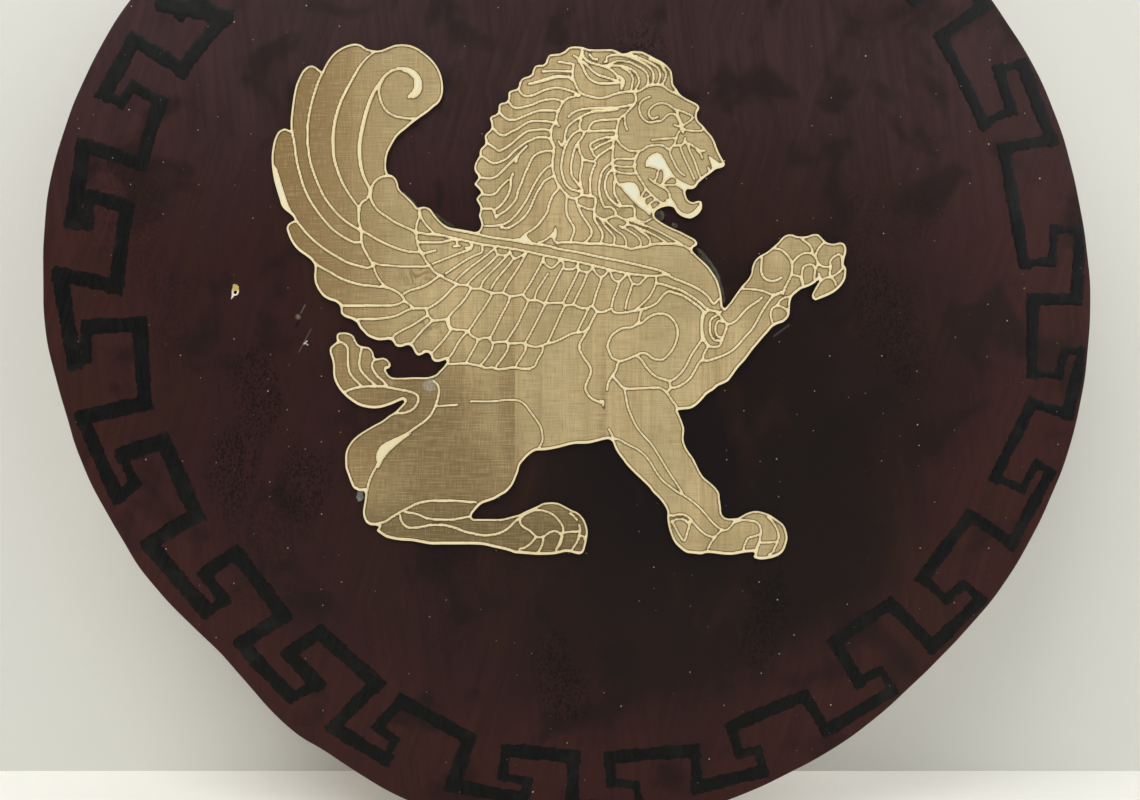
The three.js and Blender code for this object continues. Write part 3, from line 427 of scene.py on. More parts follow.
# %% Ribs of the body, legs and tail
body_ribs_shares = {3.9: [
    # Rump and tail
    [279,311, 287,303, 289,294, 288,285, 283,268, 275,252, 266,242, 252,232, 238,222, 224,214, 210,208],
    [181,163, 172,147, 166,131, 164,120],
    [126,292, 135,296, 153,300, 189,301, 203,299, 218,296, 234,293, 246,289, 252,285, 253,277, 250,269,
     243,261, 232,256, 219,254, 207,255],
    [112,377, 119,378, 124,375, 129,370, 130,362, 130,349, 131,337, 133,326, 139,317, 148,308, 153,303],
    [155,370, 153,362, 151,351, 150,340, 152,331, 158,322, 167,313, 178,304],
    [179,349, 174,344, 172,337, 175,329, 182,319, 191,311, 198,303],
    # Root of the wing on the shoulder
    [668,481, 679,479, 694,474, 712,468, 729,458, 742,449, 753,439, 758,435],
    [649,437, 661,442, 670,448, 677,457, 683,463, 690,467, 699,464, 712,460, 724,453, 735,445, 744,438,
     750,431],
    [642,432, 639,425, 637,414, 633,409],
    # Shoulder
    [633,409, 643,412, 652,420, 663,426, 676,428, 688,425, 697,417, 703,407, 705,394, 703,382, 698,369,
     690,358, 679,348, 668,348, 660,351, 651,358, 642,359, 634,356, 625,352, 615,348, 604,345, 599,347,
     591,351, 586,361, 583,371, 586,382, 591,391, 600,398, 611,403, 624,404, 633,409],
    [634,354, 642,347, 651,334, 660,324, 670,317, 683,313, 691,310],
    [691,310, 699,314, 710,324, 719,336, 728,354, 737,368, 748,384],
    [691,310, 692,298, 688,293],
    [692,298, 703,300, 715,306, 726,315, 735,329, 742,342, 748,347, 756,346, 770,350, 784,355, 799,363,
     811,374, 822,387, 833,399, 842,413, 851,430, 860,444, 870,457, 881,463, 886,466],
    [748,347, 751,358, 758,371],
    [750,431, 747,421, 747,394, 748,384, 753,379, 758,373],
    [604,345, 600,340, 598,331, 593,322, 588,315, 583,304, 582,295],
    [591,320, 599,311, 608,301, 613,298, 647,298, 672,299, 679,296, 687,289, 695,277, 703,266, 704,259],
    # Raised foreleg
    [758,433, 751,426, 748,413, 748,397, 751,385, 759,372, 770,370, 778,372, 782,381, 786,392, 790,403,
     791,410],
    [762,434, 773,431, 779,424, 786,415, 791,410, 799,411, 808,417, 816,426, 824,435, 834,443, 845,450,
     852,456],
    [852,525, 851,512, 851,500, 856,490, 867,485, 877,486, 886,491],
    [874,542, 885,539, 894,532, 901,523, 904,516, 904,507, 903,496, 897,483, 892,473, 888,462],
    # Hind paw
    [182,62, 196,66, 208,74, 223,83, 237,90, 251,97, 269,101, 305,102, 341,100, 353,99],
    [221,76, 223,68, 228,60, 237,55, 248,55, 262,57, 276,60, 291,60, 305,58, 319,54, 334,48, 348,45,
     362,42, 377,42, 389,44, 400,48, 411,55, 423,67, 430,71],
], 3.6: [
    [772,424, 764,419, 761,408, 762,394, 768,383, 779,380],
    [783,414, 776,415, 772,409, 771,399, 774,389, 782,386],
    [773,431, 781,431],
    [818,471, 829,471, 851,468, 860,465, 870,461, 881,463],
    [904,516, 907,519, 913,526, 922,532, 933,534, 942,530, 947,523, 950,514],
    [922,557, 931,551, 938,543, 940,534],
    [962,552, 956,548, 949,539, 945,528],
    [950,515, 958,510, 969,509],
    [986,532, 976,526, 971,519, 972,509, 970,496, 976,494, 983,498, 992,507, 992,517, 990,528, 986,532],
    [950,514, 947,509, 944,500, 943,489],
    [951,498, 953,489],
    [924,476, 922,489, 922,501, 924,509, 931,513, 940,513, 944,507],
    [903,496, 912,494, 919,491, 922,482],
    [955,485, 962,490, 971,491, 978,486, 981,478],
    [903,458, 892,456, 883,450, 878,442, 870,437, 867,426, 870,413],
    [878,442, 886,440, 894,435, 897,431],
    [230,82, 244,80, 255,77, 266,72, 276,70, 294,69, 312,69, 330,72, 341,74],
    [430,71, 431,62, 438,55, 447,50, 459,39, 465,38, 472,40, 481,46, 490,49, 497,47, 500,44],
    [432,72, 439,78, 447,82, 457,85, 468,85, 479,82, 490,76, 499,66, 505,56, 505,47],
    [534,48, 522,48, 505,46],
    [533,60, 535,53, 533,40, 529,29, 522,19],
    [533,40, 540,40, 543,35],
    [471,37, 469,26, 465,17, 461,11],
    [429,18, 438,20, 448,27, 457,37],
    [691,77, 697,76, 706,78, 717,77, 724,73, 733,63, 744,51, 754,43, 765,39, 769,39, 776,45, 783,51],
    [770,38, 763,29, 758,19],
    [695,66, 701,55, 708,42, 716,32, 719,37, 723,51, 727,64],
    [695,66, 702,69, 711,70, 719,67, 724,62, 728,69],
    [805,64, 812,67, 821,68, 841,65, 848,58, 850,49, 849,40, 847,29],
    [849,44, 839,40, 828,37, 823,28, 819,17],
    [848,29, 860,29, 878,29, 874,20, 871,13, 864,8],
    [862,74, 871,64, 878,53, 881,40, 879,31],
], 3.4: [
    [344,275, 381,275, 402,277, 424,277, 433,274, 440,268, 449,256, 458,244, 466,231, 469,219, 469,206,
     463,194],
    [612,297, 615,282, 618,266, 625,248, 634,230, 645,216, 658,202, 670,184, 681,166, 692,148, 703,132,
     713,116],
    [585,227, 590,218, 593,212, 604,208, 618,200, 634,192, 647,182, 658,168, 667,153, 679,137, 694,125,
     706,116, 716,111, 729,102, 742,91, 754,78, 765,65, 776,55, 783,51, 792,52, 799,59, 805,68],
    [517,80, 524,75, 530,68],
    [283,267, 292,267, 306,268, 321,269],
], 6: [
    [504,44, 502,35, 499,26, 493,17],
    [847,29, 843,19, 841,8],
]}

# %% Ribs of the mane
mane_ribs_shares = {3.8: [
    # Locks at the left
    [429,817, 433,811, 440,807, 451,808, 461,812, 474,818, 487,821, 501,821, 513,818, 524,814, 533,808],
    [412,795, 417,789, 426,786, 436,788, 451,792, 465,798, 478,801, 490,802, 501,799, 505,797],
    [395,778, 402,771, 411,766, 422,766, 433,770, 447,776, 461,781, 476,782, 497,781],
    [382,752, 388,746, 395,740, 404,739, 415,745, 426,750, 436,757, 449,763, 461,764, 485,762, 493,761],
    [371,728, 378,722, 386,717, 393,712, 402,715, 413,722, 422,730, 433,739, 444,746, 456,748, 479,748,
     484,745],
    [360,703, 368,700, 377,693, 386,690, 397,693, 408,699, 418,709, 429,718, 440,726, 451,731, 461,735,
     474,735, 481,733, 487,724, 490,719],
    [359,666, 370,664, 381,664, 390,668, 399,676, 408,685, 418,695, 424,701, 433,711, 442,720],
    [423,692, 426,701],
    [488,711, 474,711, 463,708, 454,702, 449,694, 444,683, 438,670, 433,656, 427,642, 423,627, 415,617,
     406,608, 395,601, 388,596],
    [487,687, 478,683, 469,674, 461,663, 454,651, 449,641, 442,627, 433,613, 424,601, 413,590, 402,584,
     393,582, 384,581, 370,581],
    [490,668, 481,664, 472,658, 465,647, 461,641, 454,626, 447,610, 436,595, 422,584, 408,577, 397,578],
    [490,719, 489,708, 487,694, 487,683, 490,668, 495,656, 498,651],
    [418,672, 415,665, 414,652, 411,638, 404,626, 395,615, 387,609],
    [409,661, 397,649, 388,638, 379,635, 364,636],
    [361,610, 373,611, 382,610, 387,601, 389,595],
    [498,651, 496,644, 488,635, 483,624, 480,615, 478,606, 469,592, 460,581, 451,574, 442,568, 434,561],
    # Locks in the middle
    [498,651, 512,635, 521,629, 528,629, 537,635, 539,640],
    [512,635, 511,615, 512,601, 518,589, 524,579, 525,572, 522,564, 519,555],
    [528,629, 530,620, 533,611, 540,597, 549,584, 555,572, 553,563, 544,552],
    [537,635, 549,633, 560,631, 562,624, 560,611, 560,601],
    [560,601, 560,593, 567,581, 574,568, 574,561, 571,552],
    [570,594, 578,591, 583,594, 598,598, 608,594, 617,591, 623,594, 630,594],
    # Rings round the face
    [505,797, 501,789, 497,781, 494,771, 493,761, 498,755],
    [493,761, 486,753, 484,742, 485,731, 489,721],
    [505,797, 513,803, 526,807, 533,808],
    [503,721, 508,729, 509,740, 513,753, 522,762, 533,769, 544,775, 558,780, 576,781, 600,784],
    [515,771, 521,777, 531,782, 544,785, 562,786, 594,787, 611,789, 628,793],
    [537,767, 534,755, 538,746, 549,746, 562,746, 594,747, 598,745],
    [551,746, 551,753, 557,761, 565,764, 583,766, 601,767],
    [533,747, 522,740, 513,727, 507,713, 504,699, 502,683, 505,667, 510,654, 519,645, 530,642, 538,640],
    [542,742, 537,733, 530,724, 524,711, 521,697, 519,683, 521,668, 528,658, 535,649],
    [532,722, 534,711, 539,699, 538,685, 535,670, 536,654, 539,641],
    [540,697, 551,694, 560,694, 565,701, 574,708, 583,714, 592,719],
    [560,703, 555,713, 553,722, 560,728, 576,734, 591,736, 600,737],
    [560,715, 567,720, 580,726, 592,731],
    [590,691, 582,685, 574,676, 570,663, 568,649, 569,636, 573,623, 578,614, 587,614, 595,608, 598,600],
    [592,679, 585,674, 580,663, 578,651, 579,644, 584,632, 592,623, 601,616, 611,615, 622,616, 628,614,
     630,607, 630,597, 628,591],
    [595,659, 594,648, 595,637, 601,626, 606,617],
    [562,690, 557,679, 553,665, 552,649, 553,634, 549,633],
    [594,731, 592,715, 592,681, 595,671, 597,662, 603,652],
    # Crown
    [470,850, 487,851, 520,850],
    [497,867, 510,865, 522,863],
    [524,878, 530,874, 534,868],
    [524,862, 522,851, 522,841, 526,830, 531,819, 539,811, 551,807, 565,804, 580,805, 591,809, 605,813,
     624,815, 630,814],
    [534,867, 539,859, 544,848, 551,838, 560,832, 571,829, 583,829, 603,830],
    [540,867, 548,860, 557,851, 567,844, 580,840, 601,833],
    [540,878, 546,870, 555,865, 576,859, 587,854, 596,847, 601,839],
    [551,880, 557,873, 565,871],
], 3.5: [
    # Forelock
    [577,867, 581,867, 582,875, 590,878, 600,879, 611,878, 625,874, 640,867, 652,860, 660,852, 663,842,
     662,833, 660,826],
    [586,862, 595,867, 608,868, 622,866, 636,859, 647,852, 653,843, 654,834, 651,824],
    [580,860, 600,860, 611,859, 622,855, 631,849, 636,841, 638,832, 634,823, 630,815],
    [608,857, 617,852, 624,845, 627,837, 626,828, 624,819],
    [617,880, 633,876, 647,870, 660,863, 670,856, 674,848, 674,839, 670,828],
    [656,872, 667,867, 676,862, 681,853, 685,846, 683,837, 679,829],
], 3.3: [
    # Strands under the throat
    [562,600, 571,592, 579,580, 590,568, 595,561, 594,550],
    [576,593, 586,584, 599,572, 610,564, 615,555, 615,545],
    [603,581, 617,574, 630,566, 637,560, 641,551, 639,545],
    [631,579, 642,570, 652,563, 657,556, 656,547],
    [617,584, 632,579, 652,571, 668,563, 684,553],
    [621,591, 637,585, 660,577, 680,567, 700,556, 711,550],
], 3.4: [
    [463,552, 472,555, 481,561],
    [488,562, 491,554, 495,551],
    [533,617, 540,614, 551,610, 560,610],
    [630,594, 637,590, 648,588, 658,593],
    [617,591, 617,583, 608,578],
    [497,729, 500,724, 503,721],
    [594,695, 601,698, 628,698, 633,703],
    [594,687, 600,685, 628,685, 632,688],
    [592,681, 600,675, 623,672, 633,673],
], 6: [
    [445,828, 454,830, 465,833, 479,837, 494,841, 506,841, 515,840, 521,835],
    [539,891, 537,876, 534,867],
], 7: [
    [603,842, 609,835, 609,828, 607,820],
]}

# %% Ribs of the face
face_ribs_shares = {3.7: [
    [630,814, 640,817, 649,823, 658,826, 670,827, 681,824, 690,817, 701,812, 709,808],
    [630,814, 632,805, 632,798, 627,790, 620,783, 614,776, 608,772, 602,762, 599,749, 598,736, 603,726,
     611,718, 622,712, 634,711, 643,713, 652,719, 661,721, 672,722, 681,720, 688,715, 692,714],
    [699,721, 712,722, 717,727, 718,734],
    [717,727, 729,722, 738,716, 745,712, 752,712],
    [656,663, 664,657, 674,651, 683,646, 689,640, 692,630, 695,623],
    [637,709, 633,701, 630,690, 631,678, 634,672, 639,663, 645,654, 650,645, 658,637, 666,629, 674,623,
     683,620, 691,622],
], 3.4: [
    [657,806, 649,803, 641,797, 638,789, 639,779, 643,770, 651,763, 659,761, 668,763, 676,764, 680,767,
     686,773, 691,776, 698,776, 703,772, 707,765, 710,758],
    [671,771, 665,769, 660,768, 655,774, 655,781, 660,788, 668,793, 678,795, 687,793, 695,788, 702,783,
     711,781, 721,777, 730,773],
    [702,783, 705,778, 707,770, 711,762, 713,755],
    [699,757, 707,754],
    [712,754, 719,759, 729,766, 731,769],
    [712,752, 717,749, 726,747, 747,747, 750,751],
    [711,751, 715,743],
    [708,746, 704,738, 702,731, 699,723, 692,716],
    [660,731, 686,733, 700,734],
    [739,712, 745,706, 748,699],
    [758,683, 761,675],
    [670,674, 669,667, 664,657],
    [680,652, 700,652],
    [650,645, 645,638, 641,630],
    [639,626, 648,629, 658,634],
    [652,615, 661,623, 669,627],
    [664,609, 672,615, 677,619],
], 3.3: [
    [613,771, 613,760, 617,748],
    [692,715, 692,706, 698,693, 704,681, 711,673, 717,669],
    [710,719, 712,711, 719,695, 726,680, 731,669, 734,662],
    [722,723, 726,712, 733,697, 739,680, 745,664],
]}

# %% Patches that the laser left standing whole
patch_shares = [
    # End of the curl, and the tip of the outermost feather
    [221,857, 239,855, 252,846, 258,833, 257,820, 249,809, 236,805, 234,808, 242,815, 246,825, 245,837,
     236,846, 224,851],
    [0,690, 1,665, 6,645, 11,630, 16,616, 30,602, 38,595, 31,608, 25,622, 19,640, 13,660, 7,680],
    # Haunch
    [242,219, 224,214, 210,210, 195,203, 186,196, 181,187, 179,178, 181,169, 179,163, 184,158, 192,174,
     202,187, 213,197, 229,210],
    # Wedge and flame under the mane
    [420,558, 428,559, 439,564, 443,569, 442,563, 450,554, 461,549, 430,553],
    [492,581, 495,572, 494,562, 490,554, 487,560, 480,561, 484,566, 489,572],
    # Flank, where two ribs meet the edge
    [568,278, 577,277, 577,262],
    # Upper lip, teeth of the open mouth, and the whiskers under the jaw
    [758,704, 767,698, 777,691, 787,689, 786,685, 772,680, 765,682, 761,695],
    [649,684, 649,693, 655,702, 663,707, 670,709, 677,705, 683,695, 689,684, 695,674, 702,665, 711,659,
     721,654, 728,651, 735,652, 733,646, 721,645, 718,640, 706,649, 699,652, 702,656, 702,663, 694,665,
     686,660, 680,653, 674,652, 678,657, 680,665, 680,673, 678,678, 674,679, 672,674, 671,677, 666,681,
     658,683],
    [601,654, 611,656, 620,657, 630,656, 636,649, 639,640, 639,632, 637,629, 648,627, 651,615, 658,618,
     663,608, 656,599, 648,607, 636,615, 625,626, 614,638],
    # Under side of the tongue
    [746,624, 746,612, 742,603, 735,597, 728,593, 720,594, 712,597, 704,603, 699,611, 692,616, 693,622,
     699,622, 705,612, 712,605, 720,602, 727,603, 735,609, 742,617],
    # Throat between the chin and the neck
    [683,626, 692,630, 700,622, 703,605, 699,612, 692,615, 685,615],
]
rib_groups = [wing_ribs_shares, body_ribs_shares, mane_ribs_shares, face_ribs_shares]
print("the lion has", sum(len(rows) for group in rib_groups for rows in group.values()), "ribs")

# %% [markdown]
# ## Distances on a grid
# The lion and the painted key are flat shapes with winding edges. Both are worked out as a
# field on a fine grid: the distance to the nearest edge, less than zero inside. A field
# blends strokes where they meet, as wood fibres and wet paint do, and it gives the edge of
# the shape between the grid's points.

# %% Fields
def blend(a, b, radius):
    """The lower of two fields, rounded off over the given radius where they are close."""
    if radius == 0:
        return np.minimum(a, b)
    share = np.clip(0.5 + (b - a) / (2 * radius), 0, 1)
    return b + share * (a - b) - radius * share * (1 - share)


def add_stroke(field, x, z, line, half_widths, radius, reach):
    """Blends one stroke into a field: the distance to a line of points less its half width."""
    line = np.asarray(line)
    half_widths = np.broadcast_to(half_widths, len(line))
    margin = reach + half_widths.max()
    i0, i1 = np.searchsorted(x, (line[:, 0].min() - margin, line[:, 0].max() + margin))
    j0, j1 = np.searchsorted(z, (line[:, 1].min() - margin, line[:, 1].max() + margin))
    own = np.full((i1 - i0, j1 - j0), reach)
    own_x, own_z = x[i0:i1], z[j0:j1]
    for a, b, wide, wide_next in zip(line, line[1:], half_widths, half_widths[1:]):
        k0, k1 = np.searchsorted(own_x, (min(a[0], b[0]) - margin, max(a[0], b[0]) + margin))
        l0, l1 = np.searchsorted(own_z, (min(a[1], b[1]) - margin, max(a[1], b[1]) + margin))
        side = b - a
        from_x, from_z = own_x[k0:k1, None] - a[0], own_z[None, l0:l1] - a[1]
        share = np.clip((from_x * side[0] + from_z * side[1]) / max(side @ side, 1e-12), 0, 1)
        gap = np.hypot(from_x - share * side[0], from_z - share * side[1])
        gap -= wide + share * (wide_next - wide)
        own[k0:k1, l0:l1] = np.minimum(own[k0:k1, l0:l1], gap)
    field[i0:i1, j0:j1] = blend(field[i0:i1, j0:j1], own, radius)


def inside(x, z, line):
    """For each point of a grid, whether a closed line goes round it, column by column."""
    start, end = line, np.roll(line, -1, axis=0)
    found = np.zeros((len(x), len(z)), bool)
    for i, at in enumerate(x):
        crossed = (start[:, 0] <= at) != (end[:, 0] <= at)
        a, b = start[crossed], end[crossed]
        heights = a[:, 1] + (at - a[:, 0]) / (b[:, 0] - a[:, 0]) * (b[:, 1] - a[:, 1])
        found[i] = np.searchsorted(np.sort(heights), z) % 2 == 1
    return found


def pull_to_edge(x, z, field, cell, reach_share, offset=0.0, allowed=None):
    """Grid points, with those near the zero line of a field moved beside or onto it.

    A point moves down the field's slope by its own distance to the line, and it stays the
    given offset short of the line, on its own side."""
    points = np.stack(np.meshgrid(x, z, indexing="ij"), -1)
    slope = np.stack(np.gradient(field, cell), -1)
    steepness = np.linalg.norm(slope, axis=-1)
    near = (np.abs(field) < reach_share * cell) & (steepness > 0.5)
    if allowed is not None:
        near &= allowed
    move = (field - np.sign(field) * offset)[near] / steepness[near] ** 2
    points[near] -= move[:, None] * slope[near]
    return points, near


def cut_out(name, points, field, on_edge, front, base, attributes, mirrored=False):
    """A plate with walls all round, where a field is below zero.

    Every side of a cell that crosses the edge has one end on it, so cells are kept whole, cut
    to a triangle, or dropped. The walls drop from the open sides to the base. The base is a
    mirror image of the front, or a few long triangles between the walls where the shape has
    no holes. front holds the y of each grid point."""
    state = np.where(on_edge, 0, np.sign(field)).astype(int)
    rows, columns = field.shape
    cells = grid_faces(rows, columns)
    kinds, values = state.ravel()[cells], field.ravel()[cells]
    outer = (kinds > 0).sum(1)
    held = (kinds < 0).any(1) | (values.mean(1) < 0)
    whole = cells[(outer == 0) & held]
    cut = (outer == 1) & ((kinds < 0).any(1) | (values.sum(1) - values.max(1) < 0))
    missing = np.argmax(kinds[cut], axis=1)
    turned = (missing[:, None] + [1, 2, 3]) % 4
    corner = np.take_along_axis(cells[cut], turned, axis=1)
    used = np.unique(np.concatenate([whole.ravel(), corner.ravel()]))
    place = np.full(rows * columns, -1)
    place[used] = np.arange(len(used))
    whole, corner = place[whole], place[corner]
    flat = points.reshape(-1, 2)[used]
    top = np.column_stack([flat[:, 0], front.ravel()[used], flat[:, 1]])
    sides = [face[:, [i, (i + 1) % face.shape[1]]] for face in (whole, corner)
             for i in range(face.shape[1])]
    sides = np.concatenate(sides)
    keys = sides[:, 0].astype(np.int64) * len(top) + sides[:, 1]
    open_sides = sides[~np.isin(keys, sides[:, 1].astype(np.int64) * len(top) + sides[:, 0])]
    rim = np.arange(len(top)) if mirrored else np.unique(open_sides)
    lower = np.full(len(top), -1)
    lower[rim] = len(top) + np.arange(len(rim))
    bottom = np.column_stack([top[rim, 0], np.full(len(rim), base), top[rim, 2]])
    walls = np.column_stack([open_sides[:, ::-1], lower[open_sides]])
    under = [whole[:, ::-1] + len(top), corner[:, ::-1] + len(top)] if mirrored else []
    made = add_piece(name, np.concatenate([top, bottom]), [whole, corner, walls, *under])
    form = bmesh.new()
    form.from_mesh(made.data)
    floor_edges = [edge for edge in form.edges if edge.is_boundary]
    if floor_edges:
        bmesh.ops.triangle_fill(form, edges=floor_edges, use_beauty=False)
    bmesh.ops.recalc_face_normals(form, faces=form.faces)
    form.to_mesh(made.data)
    form.free()
    for label, grid in attributes.items():
        kept = grid.ravel()[used]
        layer = made.data.attributes.new(label, "FLOAT", "POINT")
        layer.data.foreach_set("value", np.concatenate([kept, kept[rim]]).astype(np.float32))
    made.data.set_sharp_from_angle(angle=np.radians(35))
    return made


def triangles(piece):
    """Counts a piece's triangles."""
    piece.data.calc_loop_triangles()
    return len(piece.data.loop_triangles)


# %% Winged lion
lion_cell = 1.02 * mm
rib_reach = 3 * mm
rib_blend = 1.15 * mm
laser_depth = 0.8 * mm
edge_offset = 0.08 * mm
border_share, under_border_share = 3.1, 1.3
lock_stretches = range(5, 14)
lock_border_share = 2.9
broad_from, taper = 4.9, 0.4

lion_x = np.arange(lion_low.x - 2 * lion_cell, lion_high.x + 3 * lion_cell, lion_cell)
lion_z = np.arange(lion_low.z - 2 * lion_cell, lion_high.z + 3 * lion_cell, lion_cell)
shape = (len(lion_x), len(lion_z))

edge = np.full(shape, rib_reach)
add_stroke(edge, lion_x, lion_z, np.concatenate([outline, outline[:1]]), 0, 0, rib_reach)
edge = np.where(inside(lion_x, lion_z, outline), -edge, edge)

ribs = np.full(shape, rib_reach)
for group_of_ribs in rib_groups:
    for width_share, rows in group_of_ribs.items():
        for row in rows:
            line = smooth_line(on_lion(row), lion_cell)
            half = np.full(len(line), width_share * thousandth / 2)
            if width_share > broad_from:
                half *= 1 - taper * np.linspace(-1, 1, len(line)) ** 2
            add_stroke(ribs, lion_x, lion_z, line, half, rib_blend, rib_reach)
for i, row in enumerate(outline_shares):
    following = outline_shares[(i + 1) % len(outline_shares)][:2]
    line = smooth_line(on_lion([*row, *following]), lion_cell)
    run = np.gradient(line, axis=0)
    facing_down = np.clip(run[:, 0] / -np.linalg.norm(run, axis=1), 0, 1)
    share = (lock_border_share if i in lock_stretches else border_share) + under_border_share * facing_down
    add_stroke(ribs, lion_x, lion_z, line, share * thousandth, rib_blend, rib_reach)
for row in patch_shares:
    patch = on_lion(row)
    gap = np.full(shape, rib_reach)
    add_stroke(gap, lion_x, lion_z, np.concatenate([patch, patch[:1]]), 0, 0, rib_reach)
    gap = np.where(inside(lion_x, lion_z, patch), -gap, gap)
    ribs = blend(ribs, gap, rib_blend / 2)

lion_points, on_edge = pull_to_edge(lion_x, lion_z, edge, lion_cell, 0.52)
within = ~on_edge & (edge < 0)
rib_points, beside = pull_to_edge(lion_x, lion_z, ribs, lion_cell, 0.55, edge_offset, within)
lion_points[beside] = rib_points[beside]
ribs = np.where(beside, np.sign(ribs) * edge_offset, ribs)
lion_front = np.where(ribs < 0, lion_low.y, lion_low.y + laser_depth)
lion = cut_out("lion_figure", lion_points, edge, on_edge, lion_front, front_y,
               {"rib_gap": ribs / mm, "edge_gap": edge / mm})
settle(lion, "engraved_plywood", "winged_lion")
print("the lion has", triangles(lion), "triangles")

# %% [markdown]
# ## Board
# The disc was sawn out by hand, so its rim is nearly round, and flat at the lower left. The
# front and the rim are rings of points round the middle. Cutters then take out the pilot
# holes of the screws, a blind hole of a first try, and the chip that flew off round it.

# %% Board
rim_degrees = [0, 10, 25, 35, 50, 130, 150, 165, 180, 195, 210, 225, 240, 255, 285, 300, 315, 330, 345]
rim_shares = [0.999, 0.996, 0.998, 0.993, 1, 1, 1.011, 1.01, 0.996, 0.975, 0.959, 0.94, 0.972, 1, 1,
              0.993, 0.984, 0.994, 0.999]
nominal_radius = 400 * mm
rim_points = 720
edge_rounding = 2.2 * mm
saw_wobble = 0.25 * mm


def on_board(pixels):
    """Turns pixels of the photograph into x and z on the board's face, in metres."""
    return (np.asarray(pixels, float) - board_centre_px) * (metres_per_px, -metres_per_px)


def smooth_round(degrees, known, values):
    """Values between known angles of a full turn, eased from each to the next."""
    known, values = np.array([*known, 360]), np.array([*values, values[0]])
    i = np.clip(np.searchsorted(known, degrees, side="right") - 1, 0, len(known) - 2)
    share = (degrees - known[i]) / (known[i + 1] - known[i])
    return values[i] + share**2 * (3 - 2 * share) * (values[i + 1] - values[i])


def rim_radius(turn):
    """The rim's distance from the middle, for shares of a full turn."""
    radius = nominal_radius * smooth_round(turn * 360, rim_degrees, rim_shares)
    return radius + wobble(turn * 2 * np.pi, saw_wobble, (23, 41, 67), 3)


def board_form():
    """Rings from the middle of the back, over the rounded rim, to the middle of the front.

    Each ring is the rim's outline drawn in by a distance, at a depth. The two give a straight
    sawn side with a quarter circle at either end. One more ring keeps each face flat up to
    the round, and one point closes it."""
    turn = np.arange(rim_points) / rim_points
    radius = rim_radius(turn)
    bend = np.linspace(0, np.pi / 2, 6)
    inset = edge_rounding * (1 - np.sin(bend))
    drop = edge_rounding * (1 - np.cos(bend))
    flat_ring = [1.5 * edge_rounding]
    insets = np.concatenate([flat_ring, inset, inset[::-1], flat_ring])
    depths = np.concatenate([[back_y], back_y - drop, front_y + drop[::-1], [front_y]])
    angle = turn * 2 * np.pi
    ring = (radius - insets[:, None])[..., None] * np.stack([np.cos(angle), np.sin(angle)], -1)
    points = np.stack([ring[..., 0], np.broadcast_to(depths[:, None], ring.shape[:2]), ring[..., 1]], -1)
    count = len(insets) * rim_points
    points = np.concatenate([points.reshape(-1, 3), [[0, back_y, 0], [0, front_y, 0]]])
    first = np.arange(rim_points)
    after = (first + 1) % rim_points
    last = first + count - rim_points
    back = np.column_stack([np.full(rim_points, count), first, after])
    face = np.column_stack([np.full(rim_points, count + 1), last, np.roll(last, -1)])
    return points, [grid_faces(len(insets), rim_points, wrap_columns=True), back, face]


def post(name, x, z, radius, low_y, high_y, sides=24):
    """A round cutter along Y."""
    turn = np.arange(sides) / sides * 2 * np.pi
    points = [[x + radius * np.cos(t), y, z + radius * np.sin(t)] for y in (low_y, high_y) for t in turn]
    caps = [np.arange(sides)[None, ::-1], np.arange(sides)[None] + sides]
    made = add_piece(name, np.array(points), [grid_faces(2, sides, wrap_columns=True), *caps])
    close_and_turn(made)
    return made


def take_out(piece, cutters):
    """Cuts each cutter out of the piece and removes the cutter."""
    for cutter in cutters:
        cut = piece.modifiers.new("cut", "BOOLEAN")
        cut.operation = "DIFFERENCE"
        cut.solver = "EXACT"
        cut.object = cutter
    shaped = piece.evaluated_get(bpy.context.evaluated_depsgraph_get())
    before = piece.data
    piece.data = bpy.data.meshes.new_from_object(shaped)
    piece.modifiers.clear()
    bpy.data.meshes.remove(before)
    for cutter in cutters:
        bpy.data.meshes.remove(cutter.data)


pilot_radius, overrun = 1.9 * mm, 1 * mm
stray_hole_px = (234.9, 292.2)
stray_hole_radius, stray_hole_deep = 1.4 * mm, 9 * mm
chip_corners_px = [
    (231.6, 290), (232.6, 288), (232.8, 285), (234.4, 283.6), (235.5, 284.9), (236.9, 284), (237.6, 286),
    (239, 286.4), (238.5, 288.2), (239.2, 290.2), (238.6, 293.4), (236.8, 295.4), (234.4, 295.6),
    (232.6, 298), (230.8, 299.6), (231.7, 295.2),
]
screws = [f"{strap}_screw_{i}" for strap in ("arm_band", "hand_grip") for i in range(1, 5)]
screw_boxes = {name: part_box(name) for name in screws}

board = add_piece("painted_board", *board_form())
close_and_turn(board)
cutters = []
for name, (low, high) in screw_boxes.items():
    x, z = (low.x + high.x) / 2, (low.z + high.z) / 2
    cutters.append(post("pilot", x, z, pilot_radius, low.y - 0.2 * overrun, back_y + overrun))
hole_x, hole_z = on_board(stray_hole_px)
cutters.append(post("stray_hole", hole_x, hole_z, stray_hole_radius, front_y - overrun,
                    front_y + stray_hole_deep))
take_out(board, cutters)
chip_floor = 1.1 * mm
chip_line = on_board(chip_corners_px)
middle = chip_line.mean(0)
rings = [(1.15, -overrun), (1, 0), (0.8, 0.6 * chip_floor), (0.35, chip_floor)]
chip_points = [[*(middle + (corner - middle) * size), front_y + y]
               for size, y in rings for corner in chip_line]
chip_points = np.array(chip_points)[:, [0, 2, 1]]
sides = len(chip_line)
chip = add_piece("chip", chip_points, [grid_faces(4, sides, wrap_columns=True),
                                       np.arange(sides)[None], np.arange(sides)[None] + 3 * sides])
close_and_turn(chip)
take_out(board, [chip])
board.data.set_sharp_from_angle(angle=np.radians(22))
settle(board, "board_paint", "board")
print("the board has", triangles(board), "triangles")

